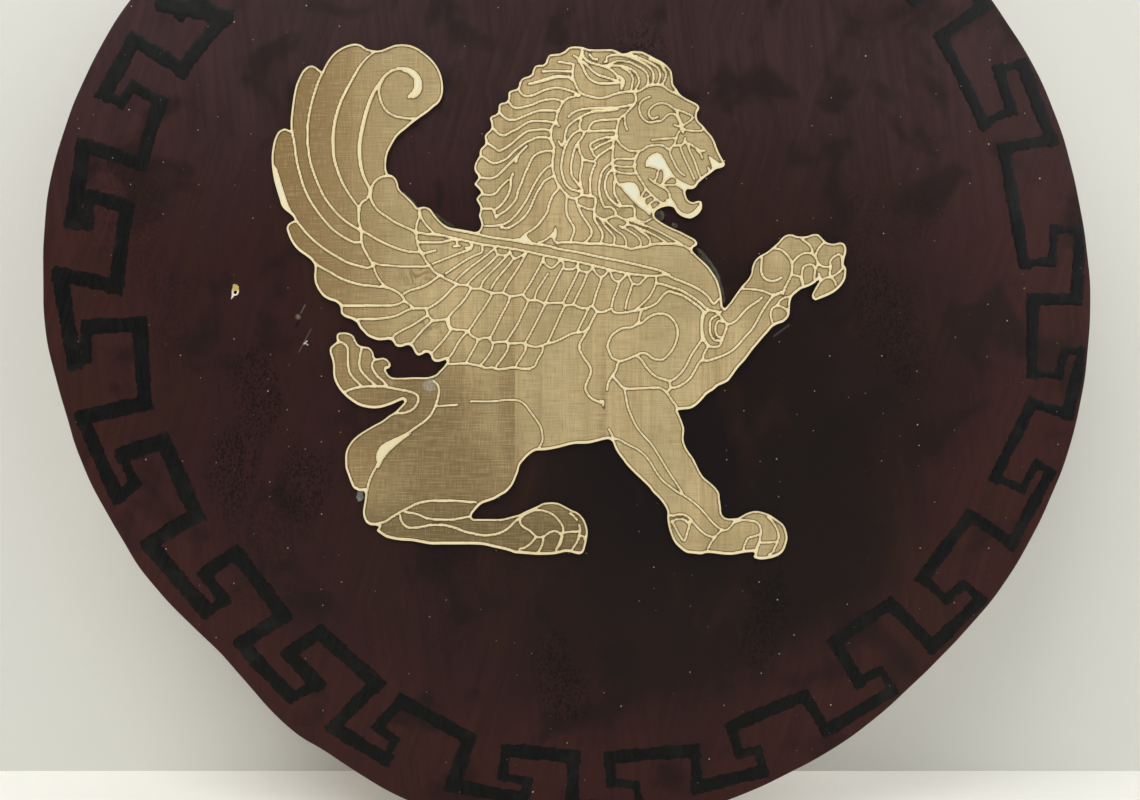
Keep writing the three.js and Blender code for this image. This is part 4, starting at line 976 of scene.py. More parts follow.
# %% [markdown]
# ## Key border
# The border is one line of brush strokes that turns from key to key. Its corners were marked
# on the photograph, and eight more keys stand above the frame. Each side is one stroke with
# square, ragged ends, and the wet paint has run together in the corners.

# %% Key border
key_corners_px = [
    (165, 4), (225, 16), (182, 70), (134, 40), (104, 95), (122, 103), (134, 87), (160, 102),
    (141, 164), (84, 146), (73, 222), (89, 225), (90, 196), (127, 207), (116, 287), (60, 275),
    (75, 363), (87, 358), (87, 327), (140, 325), (145, 404), (83, 418), (118, 498), (135, 484),
    (123, 455), (164, 442), (196, 515), (150, 544), (207, 611), (225, 600), (205, 574), (236, 553),
    (284, 616), (242, 644), (291, 696), (318, 684), (289, 654), (320, 633), (376, 683), (334, 727),
    (385, 758), (394, 740), (378, 727), (402, 702), (469, 739), (453, 785), (523, 798), (527, 782),
    (503, 776), (507, 751), (573, 757), (572, 805), (640, 808), (635, 785), (612, 783), (610, 758),
    (694, 751), (697, 787), (763, 771), (757, 751), (739, 754), (732, 727), (804, 696), (826, 731),
    (892, 691), (881, 671), (859, 682), (835, 642), (890, 604), (932, 647), (981, 600), (964, 585),
    (946, 600), (923, 578), (970, 516), (1012, 544), (1050, 473), (1037, 464), (1023, 489),
    (995, 478), (1032, 404), (1068, 415), (1083, 352), (1066, 351), (1059, 376), (1032, 374),
    (1033, 300), (1077, 300), (1081, 231), (1055, 229), (1053, 262), (1024, 264), (1004, 149),
    (1052, 140), (1023, 64), (999, 69), (1012, 111), (984, 124), (941, 37), (990, 2),
]
# The keys above the frame: degrees from the right, outer and inner runs in millimetres
unseen_keys = [
    (35.1, 390, 350), (49.3, 388, 348), (63.5, 386, 345), (77.7, 384, 342),
    (92, 382, 340), (106.2, 381, 339), (120.5, 380, 337), (134.8, 381, 337),
]
unseen_pitch = 14.2
key_steps = [(0, 1), (0.61, 1), (0.61, 0.62), (0.4, 0.62), (0.4, 0)]


def round_the_rim(degrees, radius):
    """A point on the board's face, from its angle and its distance from the middle in metres."""
    return np.array([np.cos(np.radians(degrees)), np.sin(np.radians(degrees))]) * radius


unseen = [round_the_rim(start + along * unseen_pitch, (inner + out * (outer - inner)) * mm)
          for start, outer, inner in unseen_keys for along, out in [(0, 0), *key_steps]]
key_line = np.concatenate([on_board(key_corners_px), unseen[1:]])
key_cell = 1.35 * mm
key_reach = 4 * mm
key_blend = 1.2 * mm
widest_stroke, narrowest_stroke = 11.6 * mm, 9.2 * mm
full_width_length = 32 * mm
thinning = 1.3
bow, swell, fray = 0.7 * mm, 1.1 * mm, 1.4 * mm
film = 0.3 * mm
film_edge = 0.12 * mm
film_slope = 1.6 * mm
sunk = 0.05 * mm
rim_margin = 0.4 * mm
# Uneven edges: the height of a ripple in millimetres, its waves and the way it runs
edge_ripples = [(0.16, 0.62, 2.2), (0.14, 1.1, 1.3), (0.12, 1.9, 2.8)]


def brush_stroke(field, x, z, start, end, half_width, seed):
    """Blends a brush stroke into a field: the distance to a long rectangle that gives a little.

    The stroke bows by a parabola, its sides swell slowly along it, and its ends run out
    in the tracks of the bristles."""
    run, centre = end - start, (start + end) / 2
    half_length = np.linalg.norm(run) / 2
    along = run / half_length / 2
    margin = half_length + half_width + key_reach
    i0, i1 = np.searchsorted(x, (centre[0] - margin, centre[0] + margin))
    j0, j1 = np.searchsorted(z, (centre[1] - margin, centre[1] + margin))
    from_x, from_z = x[i0:i1, None] - centre[0], z[None, j0:j1] - centre[1]
    s = from_x * along[0] + from_z * along[1]
    t = from_z * along[0] - from_x * along[1]
    t = t + bow * np.sin(seed) * (1 - (s / half_length) ** 2)
    beyond_side = np.abs(t) - half_width - wobble(s / mm, swell, (0.09, 0.21, 0.55, 1.1), seed)
    beyond_end = np.abs(s) - half_length - wobble(t / mm, fray, (0.7, 1.3, 2.4), seed + 1)
    gap = np.hypot(np.maximum(beyond_side, 0), np.maximum(beyond_end, 0))
    gap = gap + np.minimum(np.maximum(beyond_side, beyond_end), 0)
    field[i0:i1, j0:j1] = blend(field[i0:i1, j0:j1], np.minimum(gap, key_reach), key_blend)


key_limit = np.abs(key_line).max() + 4 * key_reach
key_x = np.arange(-key_limit, key_limit, key_cell)
paint = np.full((len(key_x), len(key_x)), key_reach)
for i, (a, b) in enumerate(zip(key_line, np.roll(key_line, -1, axis=0))):
    # Strokes on the left are broad and grow thinner towards the right
    rightness = np.clip(0.5 + (a[0] + b[0]) / 4 / nominal_radius * thinning, 0, 1)
    half = (widest_stroke + rightness * (narrowest_stroke - widest_stroke)) / 2
    half *= chance.uniform(0.93, 1.07) * np.clip(np.linalg.norm(b - a) / full_width_length, 0.7, 1)
    along = (b - a) / np.linalg.norm(b - a)
    start = a - along * half * chance.uniform(0.75, 1.1)
    end = b + along * half * chance.uniform(0.75, 1.1)
    brush_stroke(paint, key_x, key_x, start, end, half, i)
spots = np.meshgrid(key_x, key_x, indexing="ij")
for size, wave, turn in edge_ripples:
    ripple = (spots[0] * np.cos(turn) + spots[1] * np.sin(turn)) / mm * wave
    paint += size * mm * np.sin(ripple + 2 * np.sin(ripple * 0.37))
turns_round = np.arctan2(spots[1], spots[0]) / (2 * np.pi) % 1
beyond_rim = np.hypot(*spots) - rim_radius(turns_round) + edge_rounding
paint = np.maximum(paint, beyond_rim + rim_margin)
key_points, key_edge = pull_to_edge(key_x, key_x, paint, key_cell, 0.6)
depth = np.clip(-np.where(key_edge, 0, paint) / film_slope, 0, 1)
key_front = front_y - film_edge - (film - film_edge) * depth
key = cut_out("key_strokes", key_points, paint, key_edge, key_front, front_y + sunk, {"depth": depth},
              mirrored=True)
settle(key, "key_paint", "key_border")
print("the key border has", triangles(key), "triangles")

# %% [markdown]
# ## Leather arm band and hand grip
# Each loop is one strip of leather. Its foot lies on the board, turns up through a small
# round, and runs over half an ellipse to the other foot. The cross-section is a flat
# oblong with rounded edges, a pressed line along either side and a slightly hollow back.

# %% Straps
strap_fillet = 9 * mm
strap_step = 2 * mm
leather_thickness = 3.5 * mm
foot_corner = 7 * mm
burnished_edge = 1.1 * mm
crease_inset, crease_half_width, crease_deep = 4.5 * mm, 0.7 * mm, 0.35 * mm
sway_size, curl_size, fade_length = 0.5 * mm, 0.8 * mm, 20 * mm
# A hair of width stays at the very ends, so that no face there is empty
end_rounding = 0.999


def strap_line(half_span, height, foot):
    """The middle line of a strap in (y, z), from the end of one foot to the end of the other.

    It joins a straight foot, a quarter circle, half an ellipse and their mirror image, and
    then spreads its points evenly."""
    middle = leather_thickness / 2
    leg = half_span + middle
    rise = middle + strap_fillet
    bend = np.linspace(-np.pi / 2, -np.pi, 12)
    lift = np.column_stack([rise + strap_fillet * np.sin(bend),
                            leg + strap_fillet + strap_fillet * np.cos(bend)])
    over = np.linspace(0, np.pi, 72)[1:-1]
    arch = np.column_stack([rise + (height + middle - rise) * np.sin(over), leg * np.cos(over)])
    start = np.array([[middle, half_span + foot], [middle, half_span + foot - strap_step / 2]])
    half = np.concatenate([start, lift])
    line = np.concatenate([half, arch, half[::-1] * (1, -1)])
    lengths = np.concatenate([[0], np.cumsum(np.linalg.norm(np.diff(line, axis=0), axis=1))])
    even = np.linspace(0, lengths[-1], int(lengths[-1] / strap_step))
    return np.column_stack([np.interp(even, lengths, side) for side in line.T]), even


def strap_section(half_width):
    """Points (x, height) round a strap's cross-section: an oblong with rounded edges and two
    pressed lines in its outer face."""
    edge, top = burnished_edge, leather_thickness / 2
    crease_x = half_width - crease_inset
    bend = np.linspace(0, np.pi / 2, 4)
    corner = np.column_stack([half_width - edge + edge * np.sin(bend), top - edge + edge * np.cos(bend)])
    line = [(crease_x - crease_half_width, top), (crease_x, top - crease_deep),
            (crease_x + crease_half_width, top)]
    outer_right = np.concatenate([[(0, top), (half_width / 2, top)], line, corner])
    right = np.concatenate([outer_right, (corner * (1, -1))[::-1], [(half_width / 2, -top), (0, -top)]])
    return np.concatenate([right, (right * (-1, 1))[-2:0:-1]])


def strap(name, node, half_span, height, foot):
    """Sweeps the cross-section along the middle line, and rounds the corners of both ends.

    The strip narrows over its last stretch by a quarter circle at each corner. A slow wave
    along the length stands for the way worn leather gives, and it fades out at the feet."""
    low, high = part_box(node)
    half_width = (high.x - low.x) / 2
    middle_x, middle_z = (low.x + high.x) / 2, (low.z + high.z) / 2
    line, along = strap_line(half_span, height, foot)
    run = np.gradient(line, axis=0)
    run /= np.linalg.norm(run, axis=1)[:, None]
    out = np.column_stack([-run[:, 1], run[:, 0]])
    out *= np.sign(out[len(out) // 2, 0])
    section = strap_section(half_width)
    to_end = np.minimum(along, along[-1] - along)
    narrow = foot_corner - np.sqrt(foot_corner**2 - np.clip(foot_corner - to_end, 0, None) ** 2)
    narrow *= end_rounding
    across = section[None, :, 0] * (1 - narrow / half_width)[:, None]
    free = np.clip((to_end - foot) / fade_length, 0, 1)[:, None]
    sway = wobble(along / mm, sway_size, (0.021, 0.047), len(name))[:, None]
    edge_share = (section[:, 0] / half_width) ** 2
    curl = -curl_size * edge_share[None] * free
    height_out = section[None, :, 1] + curl
    y = line[:, :1] + out[:, :1] * height_out
    z = line[:, 1:] + out[:, 1:] * height_out
    points = np.stack([middle_x + across + sway * free, y, middle_z + z], -1)
    rows, columns = points.shape[:2]
    caps = [np.arange(columns)[None], np.arange(columns)[None] + (rows - 1) * columns]
    made = add_piece(name, points.reshape(-1, 3), [grid_faces(rows, columns, wrap_columns=True), *caps])
    edge_layer = made.data.attributes.new("edge", "FLOAT", "POINT")
    edge_values = np.tile(np.abs(section[:, 0]) / half_width, rows).astype(np.float32)
    edge_layer.data.foreach_set("value", edge_values)
    close_and_turn(made)
    made.data.set_sharp_from_angle(angle=np.radians(60))
    settle(made, "leather", node)
    return made


# Each loop: half its span, its height and the length of a foot with its round
arm_sizes = 58 * mm, 88 * mm, 48.75 * mm
grip_sizes = 42 * mm, 42 * mm, 54.75 * mm
arm = strap("arm_band_leather", "arm_band", *arm_sizes)
grip = strap("hand_grip_leather", "hand_grip", *grip_sizes)
print("the straps have", triangles(arm), "and", triangles(grip), "triangles")

# %% [markdown]
# ## Screws and washers
# A pan-head screw with a cross recess and the washer under it are turned parts, so each is a
# profile that runs round an axis. The recess is sunk into the top of the head afterwards.

# %% Screws and washers
turns = 64
# The cross, in millimetres: its reach, half its width, how far it slopes in, its depth at the
# middle, and how much of the depth it loses per millimetre outwards
recess_arm, recess_half_width, recess_slope, recess_deep, recess_rise = 2.1, 0.5, 0.25, 1.3, 0.35
# Rings of points that follow the cross, as shares of the head's radius
ring_spacing, ring_count, rings_end = 0.06, 9, 0.52
crown_height, head_edge, shank_radius = 1.5 * mm, 0.3 * mm, 1.75 * mm
point_length, tip_radius, tip_length = 4 * mm, 0.2 * mm, 0.05 * mm
washer_bore, washer_round = 2.05 * mm, 0.2 * mm


def turned(name, x, z, profile, spin=0.0, recess=False):
    """Runs a profile of (radius, y) round an axis, and sinks a cross into its first points."""
    angle = np.arange(turns) / turns * 2 * np.pi
    radius, y = np.array(profile).T[:, :, None]
    height = np.broadcast_to(y, (len(y), turns))
    points = np.stack([x + radius * np.cos(angle), height, z + radius * np.sin(angle)], -1)
    if recess:
        a = np.abs(radius * np.cos(angle + spin) / mm)
        b = np.abs(radius * np.sin(angle + spin) / mm)
        arms = np.minimum(np.maximum(a - recess_arm, b - recess_half_width),
                          np.maximum(b - recess_arm, a - recess_half_width))
        depth = np.clip(-arms / recess_slope, 0, 1) * (recess_deep - recess_rise * radius / mm)
        points[..., 1] -= depth * mm * (y > y.max() - 0.8 * crown_height)
    made = add_piece(name, points.reshape(-1, 3), [grid_faces(len(y), turns, wrap_columns=True)])
    close_and_turn(made, 0.01 * mm)
    made.data.set_sharp_from_angle(angle=np.radians(35))
    return made


for name, (low, high) in screw_boxes.items():
    x, z = (low.x + high.x) / 2, (low.z + high.z) / 2
    head = (high.x - low.x) / 2
    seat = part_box(name.replace("screw", "washer"))[1].y
    crown = [(head * np.sin(t), high.y - crown_height * (1 - np.cos(t)))
             for t in np.linspace(0, np.pi / 2, 12)]
    inner = [(head * ring_spacing * i, high.y) for i in range(ring_count)]
    crown = [(r, y) for r, y in crown if r > head * rings_end]
    profile = [*inner, *crown, (head, seat + head_edge), (head - head_edge, seat), (shank_radius, seat),
               (shank_radius, low.y + point_length), (tip_radius, low.y + tip_length), (0, low.y)]
    screw = turned(name + "_turned", x, z, profile, chance.uniform(0, np.pi), recess=True)
    settle(screw, "zinc_steel", name)
    washer_name = name.replace("screw", "washer")
    w_low, w_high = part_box(washer_name)
    rim, bore, soft = (w_high.x - w_low.x) / 2, washer_bore, washer_round
    loop = [(bore, w_low.y), (rim - soft, w_low.y), (rim, w_low.y + soft), (rim, w_high.y - soft),
            (rim - soft, w_high.y), (bore + soft, w_high.y), (bore, w_high.y - soft), (bore, w_low.y)]
    washer = turned(washer_name + "_turned", x, z, loop)
    settle(washer, "zinc_steel", washer_name)
print("screws and washers are in")

# %% [markdown]
# ## Glue
# Hot-melt glue squeezed out beside the figure and set in low beads. Each bead is a flattened
# mound over a wavy oval, and the long ones bow along the figure's edge.

# %% Glue
bead_rings, bead_sides = 14, 72
glue_beads = {
    # node: middle, half length and half width in thousandths, tilt in degrees, bow in thousandths
    "glue_bead_wing_upper": (237, 625, 20, 6, -45, 0),
    "glue_bead_wing_lower": (295, 594, 27, 4.5, -35, -3),
    "glue_bead_chest": (762, 497, 51, 8, -62, 7),
    "glue_bead_throat": (673, 600, 11, 11, 0, 0),
    "glue_bead_hock": (151, 110, 7, 11, 0, 0),
    "glue_drip_neck": (700, 582, 6, 5, -30, 0),
}
for i, (node_name, (u, v, long, wide, tilt, bow_share)) in enumerate(glue_beads.items()):
    low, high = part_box(node_name)
    angle = np.linspace(0, 2 * np.pi, bead_sides, endpoint=False)
    climb = np.linspace(0, np.pi / 2, bead_rings)[:, None]
    uneven = 1 + wobble(angle, 0.16, (2, 3, 5, 7), i + 20) + 0.05 * np.sin(climb * 6 + i)
    spread = np.cos(climb) ** 0.75 * uneven * thousandth
    a, b = spread * long * np.cos(angle), spread * wide * np.sin(angle)
    b = b + bow_share * thousandth * (1 - (a / (long * thousandth)) ** 2)
    t = np.radians(tilt)
    middle = on_lion([u, v])[0]
    rise = np.sin(climb) * (front_y - low.y) * (1 + 0.12 * np.sin(2 * angle + i) * np.cos(climb))
    points = np.stack([middle[0] + a * np.cos(t) - b * np.sin(t), front_y + sunk - rise,
                       middle[1] + a * np.sin(t) + b * np.cos(t)], -1)
    bead = add_piece(node_name + "_drop", points.reshape(-1, 3),
                     [grid_faces(bead_rings, bead_sides, wrap_columns=True), np.arange(bead_sides)[None]])
    close_and_turn(bead)
    settle(bead, "hot_glue", node_name)
print("glue is in")

# %% [markdown]
# ## Node helpers
# Materials are trees of nodes. Short helpers add one node each and link what goes into it, so
# a material reads like a formula. Colours are written as 8-bit screen values, because that is
# how they were read off the photograph.

# %% Node helpers
def srgb(*channels):
    """Turns 8-bit screen values into the linear colour that a node takes."""
    share = np.array(channels) / 255
    linear = np.where(share <= 0.04045, share / 12.92, ((share + 0.055) / 1.055) ** 2.4)
    return (*linear, 1)


def feed(tree, node, inputs):
    """Gives each named input of a node a value or a link."""
    for label, value in inputs.items():
        if isinstance(value, bpy.types.NodeSocket):
            tree.links.new(value, node.inputs[label])
        else:
            node.inputs[label].default_value = value


def add_node(tree, kind, inputs, **settings):
    """Adds a node, sets its properties, and gives each input a value or a link."""
    made = tree.nodes.new("ShaderNode" + kind)
    for label, value in settings.items():
        setattr(made, label, value)
    feed(tree, made, inputs)
    return made


def calc(tree, operation, *values):
    """One arithmetic step on numbers."""
    made = add_node(tree, "Math", dict(enumerate(values)), operation=operation)
    return made.outputs[0]


def times(tree, a, b):
    """A product, which fades a mask or a height."""
    return calc(tree, "MULTIPLY", a, b)


def measure(tree, operation, *vectors):
    """A number that vectors give, such as their distance or the length of one."""
    made = add_node(tree, "VectorMath", dict(enumerate(vectors)), operation=operation)
    return made.outputs["Value"]


def vector_calc(tree, operation, a, b):
    """One arithmetic step on vectors."""
    return add_node(tree, "VectorMath", {0: a, 1: b}, operation=operation).outputs[0]


def scale_vector(tree, vector, size):
    """A vector stretched along its three axes."""
    return vector_calc(tree, "MULTIPLY", vector, size)


def apart(tree, vector):
    """The X, Y and Z of a vector."""
    return add_node(tree, "SeparateXYZ", {"Vector": vector}).outputs


def ease(tree, value, start, end, low=0.0, high=1.0):
    """Eases from low to high while a value goes from start to end."""
    inputs = {"Value": value, "From Min": start, "From Max": end, "To Min": low, "To Max": high}
    return add_node(tree, "MapRange", inputs, interpolation_type="SMOOTHSTEP").outputs["Result"]


def mix(tree, factor, a, b):
    """Mixes two colours."""
    return add_node(tree, "Mix", {0: factor, 6: a, 7: b}, data_type="RGBA").outputs[2]


def noise(tree, vector, scale, detail=3.0, roughness=0.5, distortion=0.0):
    """Smooth random values round one half."""
    inputs = {"Vector": vector, "Scale": scale, "Detail": detail, "Roughness": roughness,
              "Distortion": distortion}
    return add_node(tree, "TexNoise", inputs).outputs[0]


def bump(tree, height, distance, strength=1.0):
    """A normal that is tilted by the slope of a height, in metres for a height of one."""
    inputs = {"Height": height, "Distance": distance, "Strength": strength}
    return add_node(tree, "Bump", inputs).outputs[0]


def new_group(name, inputs, outputs):
    """Starts a node group with named inputs, their first values, and named outputs."""
    tree = bpy.data.node_groups.new(name, "ShaderNodeTree")
    for label, value in inputs.items():
        kind = "NodeSocketFloat" if isinstance(value, (int, float)) else "NodeSocketVector"
        socket = tree.interface.new_socket(label, in_out="INPUT", socket_type=kind)
        if kind == "NodeSocketFloat":
            socket.default_value = value
    for label in outputs:
        tree.interface.new_socket(label, in_out="OUTPUT", socket_type="NodeSocketFloat")
    return tree, tree.nodes.new("NodeGroupInput").outputs, tree.nodes.new("NodeGroupOutput").inputs


def use_group(tree, group, inputs):
    """Places a group in a material's tree."""
    made = tree.nodes.new("ShaderNodeGroup")
    made.node_tree = group
    feed(tree, made, inputs)
    return made.outputs


def new_material(name, surface):
    """Starts a material, and returns its tree, its shader and the object's coordinates."""
    material = bpy.data.materials.new(name)
    material.use_nodes = True
    tree = material.node_tree
    shader = tree.nodes["Principled BSDF"]
    for label, value in surface.items():
        shader.inputs[label].default_value = value
    return material, tree, shader, tree.nodes.new("ShaderNodeTexCoord").outputs["Object"]


def attribute(tree, name):
    """A number that each point of a mesh carries."""
    return add_node(tree, "Attribute", {}, attribute_name=name).outputs["Fac"]


# %% [markdown]
# ## Effects that several materials share
# Wood grain runs through the board's bare back and the figure. Brush marks lie in
# both paints. Specks of dust and tiny spatters lie on both paints.
# Scuffs wear the leather and the steel.

# %% Shared effects
grain, g_in, g_out = new_group("wood_grain", {"Vector": None, "Across": 320.0, "Along": 9.0},
                               ["Tone", "Pores"])
stretch = add_node(grain, "CombineXYZ", {"X": g_in["Across"], "Y": g_in["Across"], "Z": g_in["Along"]})
fibres = scale_vector(grain, g_in["Vector"], stretch.outputs[0])
streaks = noise(grain, fibres, 1.0, 5, 0.6, 0.3)
wide_bands = noise(grain, fibres, 0.13, 2, 0.5, 0.6)
tone = calc(grain, "ADD", times(grain, streaks, 0.55), times(grain, wide_bands, 0.45))
grain.links.new(tone, g_out["Tone"])
grain.links.new(ease(grain, noise(grain, fibres, 2.6, 2, 0.5), 0.62, 0.74), g_out["Pores"])

brushing, b_in, b_out = new_group("brush_marks", {"Vector": None, "Across": 900.0, "Along": 14.0},
                                  ["Height", "Tone"])
turned_by = add_node(brushing, "CombineXYZ", {"X": b_in["Across"], "Y": b_in["Along"], "Z": b_in["Along"]})
slanted = [add_node(brushing, "VectorRotate", {"Vector": b_in["Vector"], "Axis": (0, 1, 0), "Angle": angle},
                    rotation_type="AXIS_ANGLE").outputs[0] for angle in (0.12, -0.3)]
stretched = [scale_vector(brushing, vector, turned_by.outputs[0]) for vector in slanted]
bristles, crossing = [noise(brushing, vector, 1.0, 4, 0.65, 0.4) for vector in stretched]
where = ease(brushing, noise(brushing, b_in["Vector"], 14, 2), 0.44, 0.56)
either = calc(brushing, "ADD", times(brushing, bristles, where),
              times(brushing, crossing, calc(brushing, "SUBTRACT", 1.0, where)))
brushing.links.new(either, b_out["Height"])
brushing.links.new(ease(brushing, either, 0.3, 0.7), b_out["Tone"])

specks, s_in, s_out = new_group("specks", {"Vector": None, "Density": 60.0, "Share": 0.1}, ["Mask"])
xyz = apart(specks, s_in["Vector"])
face_on = add_node(specks, "CombineXYZ", {"X": xyz["X"], "Y": xyz["Z"]}).outputs[0]
cells = add_node(specks, "TexVoronoi", {"Vector": face_on, "Scale": s_in["Density"]},
                 voronoi_dimensions="2D")
chosen = add_node(specks, "SeparateColor", {"Color": cells.outputs["Color"]})
size = times(specks, chosen.outputs[1], 0.042)
near_point = calc(specks, "LESS_THAN", cells.outputs["Distance"], size)
picked = calc(specks, "LESS_THAN", chosen.outputs[0], s_in["Share"])
strength = times(specks, picked, ease(specks, chosen.outputs[2], 0, 1, 0.3, 1))
specks.links.new(times(specks, near_point, strength), s_out["Mask"])

scuffs, c_in, c_out = new_group("scuffs", {"Vector": None, "Size": 60.0}, ["Mask"])
broad = noise(scuffs, c_in["Vector"], c_in["Size"], 6, 0.7, 0.8)
scuffs.links.new(ease(scuffs, broad, 0.5, 0.7), c_out["Mask"])

line_gap, l_in, l_out = new_group("line_gap", {"Vector": None, "From": None, "To": None}, ["Gap"])
run = vector_calc(line_gap, "SUBTRACT", l_in["To"], l_in["From"])
from_start = vector_calc(line_gap, "SUBTRACT", l_in["Vector"], l_in["From"])
along = measure(line_gap, "DOT_PRODUCT", from_start, run)
squared = measure(line_gap, "DOT_PRODUCT", run, run)
share = add_node(line_gap, "Clamp", {"Value": calc(line_gap, "DIVIDE", along, squared)}).outputs[0]
nearest = add_node(line_gap, "VectorMath", {0: run, "Scale": share}, operation="SCALE").outputs[0]
line_gap.links.new(measure(line_gap, "DISTANCE", from_start, nearest), l_out["Gap"])
print("shared effects are ready")

# %% [markdown]
# ## Painted board
# Two coats of maroon were brushed over plywood. The paint is nearly black in the middle and
# warmer and redder towards the rim. Dark crackle lies in loose patches, and a few pale
# specks are spread over the whole face. A lighter tone towards the top is painted sheen, the
# blind hole is darkened with painted shade, and one dark line below a mound is a painted
# shadow. The back is bare wood, with paint run over its edge.

# %% Board material
crackle_patches_px = [(262, 390), (235, 470), (300, 480), (872, 308), (900, 340), (765, 620),
                      (560, 690), (640, 60)]
crackle_patch_radius = 0.04
dark_centre_px = (690, 450)
# Scratches and splits, and one painted shadow below the mound: both ends, the width and the colour
scratch_and_shadow_lines_px = [
    # The second line is no scratch but a painted shadow, dark below the mound.
    ((305, 305), (301, 313), 0.8, (98, 86, 80)), ((299, 321), (296, 327), 1.5, (17, 12, 11)),
    ((311, 329), (299, 352), 0.5, (96, 84, 78)), ((307, 341), (304, 344), 0.7, (210, 202, 194)),
    ((305, 343), (308, 345), 0.6, (196, 188, 180)),
    ((774, 336), (789, 325), 1.2, (70, 61, 58)),
]
mound_px, mound_radius = (298, 317), 2.8 * mm
paint_film, chip_reach = 0.06 * mm, 14 * mm
bare_back_radius, paint_run, paint_run_edge = 369 * mm, 0.4 * mm, 3 * mm


def flat_point(pixel):
    """A pixel of the photograph as a point with no depth."""
    x, z = on_board(pixel)
    return (x, 0, z)


board_paint, tree, shader, place = new_material("board_paint", {"Specular IOR Level": 0.08})
xyz = apart(tree, place)
flat = scale_vector(tree, place, (1, 0, 1))
from_middle = measure(tree, "LENGTH", flat)
from_dark = measure(tree, "DISTANCE", flat, flat_point(dark_centre_px))
cloud = calc(tree, "SUBTRACT", noise(tree, flat, 6, 4, 0.6), 0.5)
outwards = calc(tree, "ADD", from_dark, times(tree, cloud, 0.16))
colour = mix(tree, ease(tree, outwards, 0.04, 0.32), srgb(23, 18, 17), srgb(49, 28, 26))
towards_rim = calc(tree, "ADD", from_middle, times(tree, cloud, 0.12))
colour = mix(tree, ease(tree, towards_rim, 0.29, 0.36, 0, 0.75), colour, srgb(61, 33, 30))
# Painted sheen: the paint turns a lighter purple-grey towards the top, where the room's light is reflected.
colour = mix(tree, ease(tree, xyz["Z"], 0.02, 0.2, 0, 0.65), colour, srgb(60, 44, 44))
brown = ease(tree, noise(tree, scale_vector(tree, flat, (13, 1, 8)), 1.0, 4, 0.6), 0.5, 0.64, 0, 0.45)
colour = mix(tree, brown, colour, srgb(50, 31, 22))
smoky = ease(tree, noise(tree, flat, 17, 3, 0.55, 0.4), 0.52, 0.66, 0, 0.6)
colour = mix(tree, smoky, colour, srgb(24, 19, 17))
brush = use_group(tree, brushing, {"Vector": place, "Across": 170.0, "Along": 9.0})
colour = mix(tree, times(tree, brush["Tone"], 0.4), colour, srgb(28, 19, 19))
patch = ease(tree, noise(tree, flat, 8, 2), 0.56, 0.68, 0, 0.5)
torn = times(tree, noise(tree, flat, 26, 3, 0.6), 1.6 * crackle_patch_radius)
for x, z in on_board(crackle_patches_px):
    offset = vector_calc(tree, "SUBTRACT", flat, (x, 0, z))
    gap = calc(tree, "ADD", measure(tree, "LENGTH", scale_vector(tree, offset, (1.3, 0, 0.7))), torn)
    dab = ease(tree, gap, 1.8 * crackle_patch_radius, 1.1 * crackle_patch_radius)
    patch = calc(tree, "MAXIMUM", patch, dab)
crackle = noise(tree, scale_vector(tree, place, (560, 560, 400)), 1.0, 4, 0.7)
crackle = times(tree, ease(tree, crackle, 0.5, 0.56), patch)
colour = mix(tree, times(tree, crackle, 0.7), colour, srgb(11, 9, 9))
pale = use_group(tree, specks, {"Vector": place, "Density": 75.0, "Share": 0.22})["Mask"]
colour = mix(tree, pale, colour, srgb(176, 168, 150))
scratch_and_shadow_lines = 0.0
for start, end, width, tint in scratch_and_shadow_lines_px:
    ends = {"Vector": flat, "From": flat_point(start), "To": flat_point(end)}
    line = use_group(tree, line_gap, ends)["Gap"]
    ragged = calc(tree, "ADD", line, times(tree, noise(tree, place, 900, 2), 0.5 * metres_per_px))
    mark = ease(tree, ragged, (width + 0.6) * metres_per_px, 0.3 * width * metres_per_px)
    colour = mix(tree, times(tree, mark, 0.85), colour, srgb(*tint))
    scratch_and_shadow_lines = calc(tree, "MAXIMUM", scratch_and_shadow_lines, mark)
mound_gap = measure(tree, "DISTANCE", flat, flat_point(mound_px))
mound = ease(tree, mound_gap, mound_radius, 0.3 * mound_radius)
mound_tone = mix(tree, noise(tree, place, 420, 2), srgb(60, 46, 36), srgb(134, 122, 104))
colour = mix(tree, times(tree, mound, 0.85), colour, mound_tone)

wood = use_group(tree, grain, {"Vector": place, "Across": 240.0, "Along": 5.0})
wood_colour = mix(tree, wood["Tone"], srgb(150, 116, 76), srgb(206, 176, 130))
wood_colour = mix(tree, times(tree, wood["Pores"], 0.6), wood_colour, srgb(104, 74, 46))
plies = add_node(tree, "TexWave", {"Vector": scale_vector(tree, place, (1, 260, 1)), "Scale": 0.5,
                                   "Distortion": 0.6}, bands_direction="Y").outputs["Fac"]
hole_gap = measure(tree, "DISTANCE", flat, (hole_x, 0, hole_z))
below_paint = calc(tree, "GREATER_THAN", xyz["Y"], front_y + paint_film)
below_paint = times(tree, below_paint, calc(tree, "LESS_THAN", xyz["Y"], back_y - paint_film))
chipped = times(tree, below_paint, calc(tree, "LESS_THAN", hole_gap, chip_reach))
chip_tone = mix(tree, plies, srgb(222, 202, 134), srgb(186, 160, 96))
chip_colour = mix(tree, ease(tree, xyz["Z"], hole_z, hole_z + 2 * mm), srgb(222, 216, 198), chip_tone)
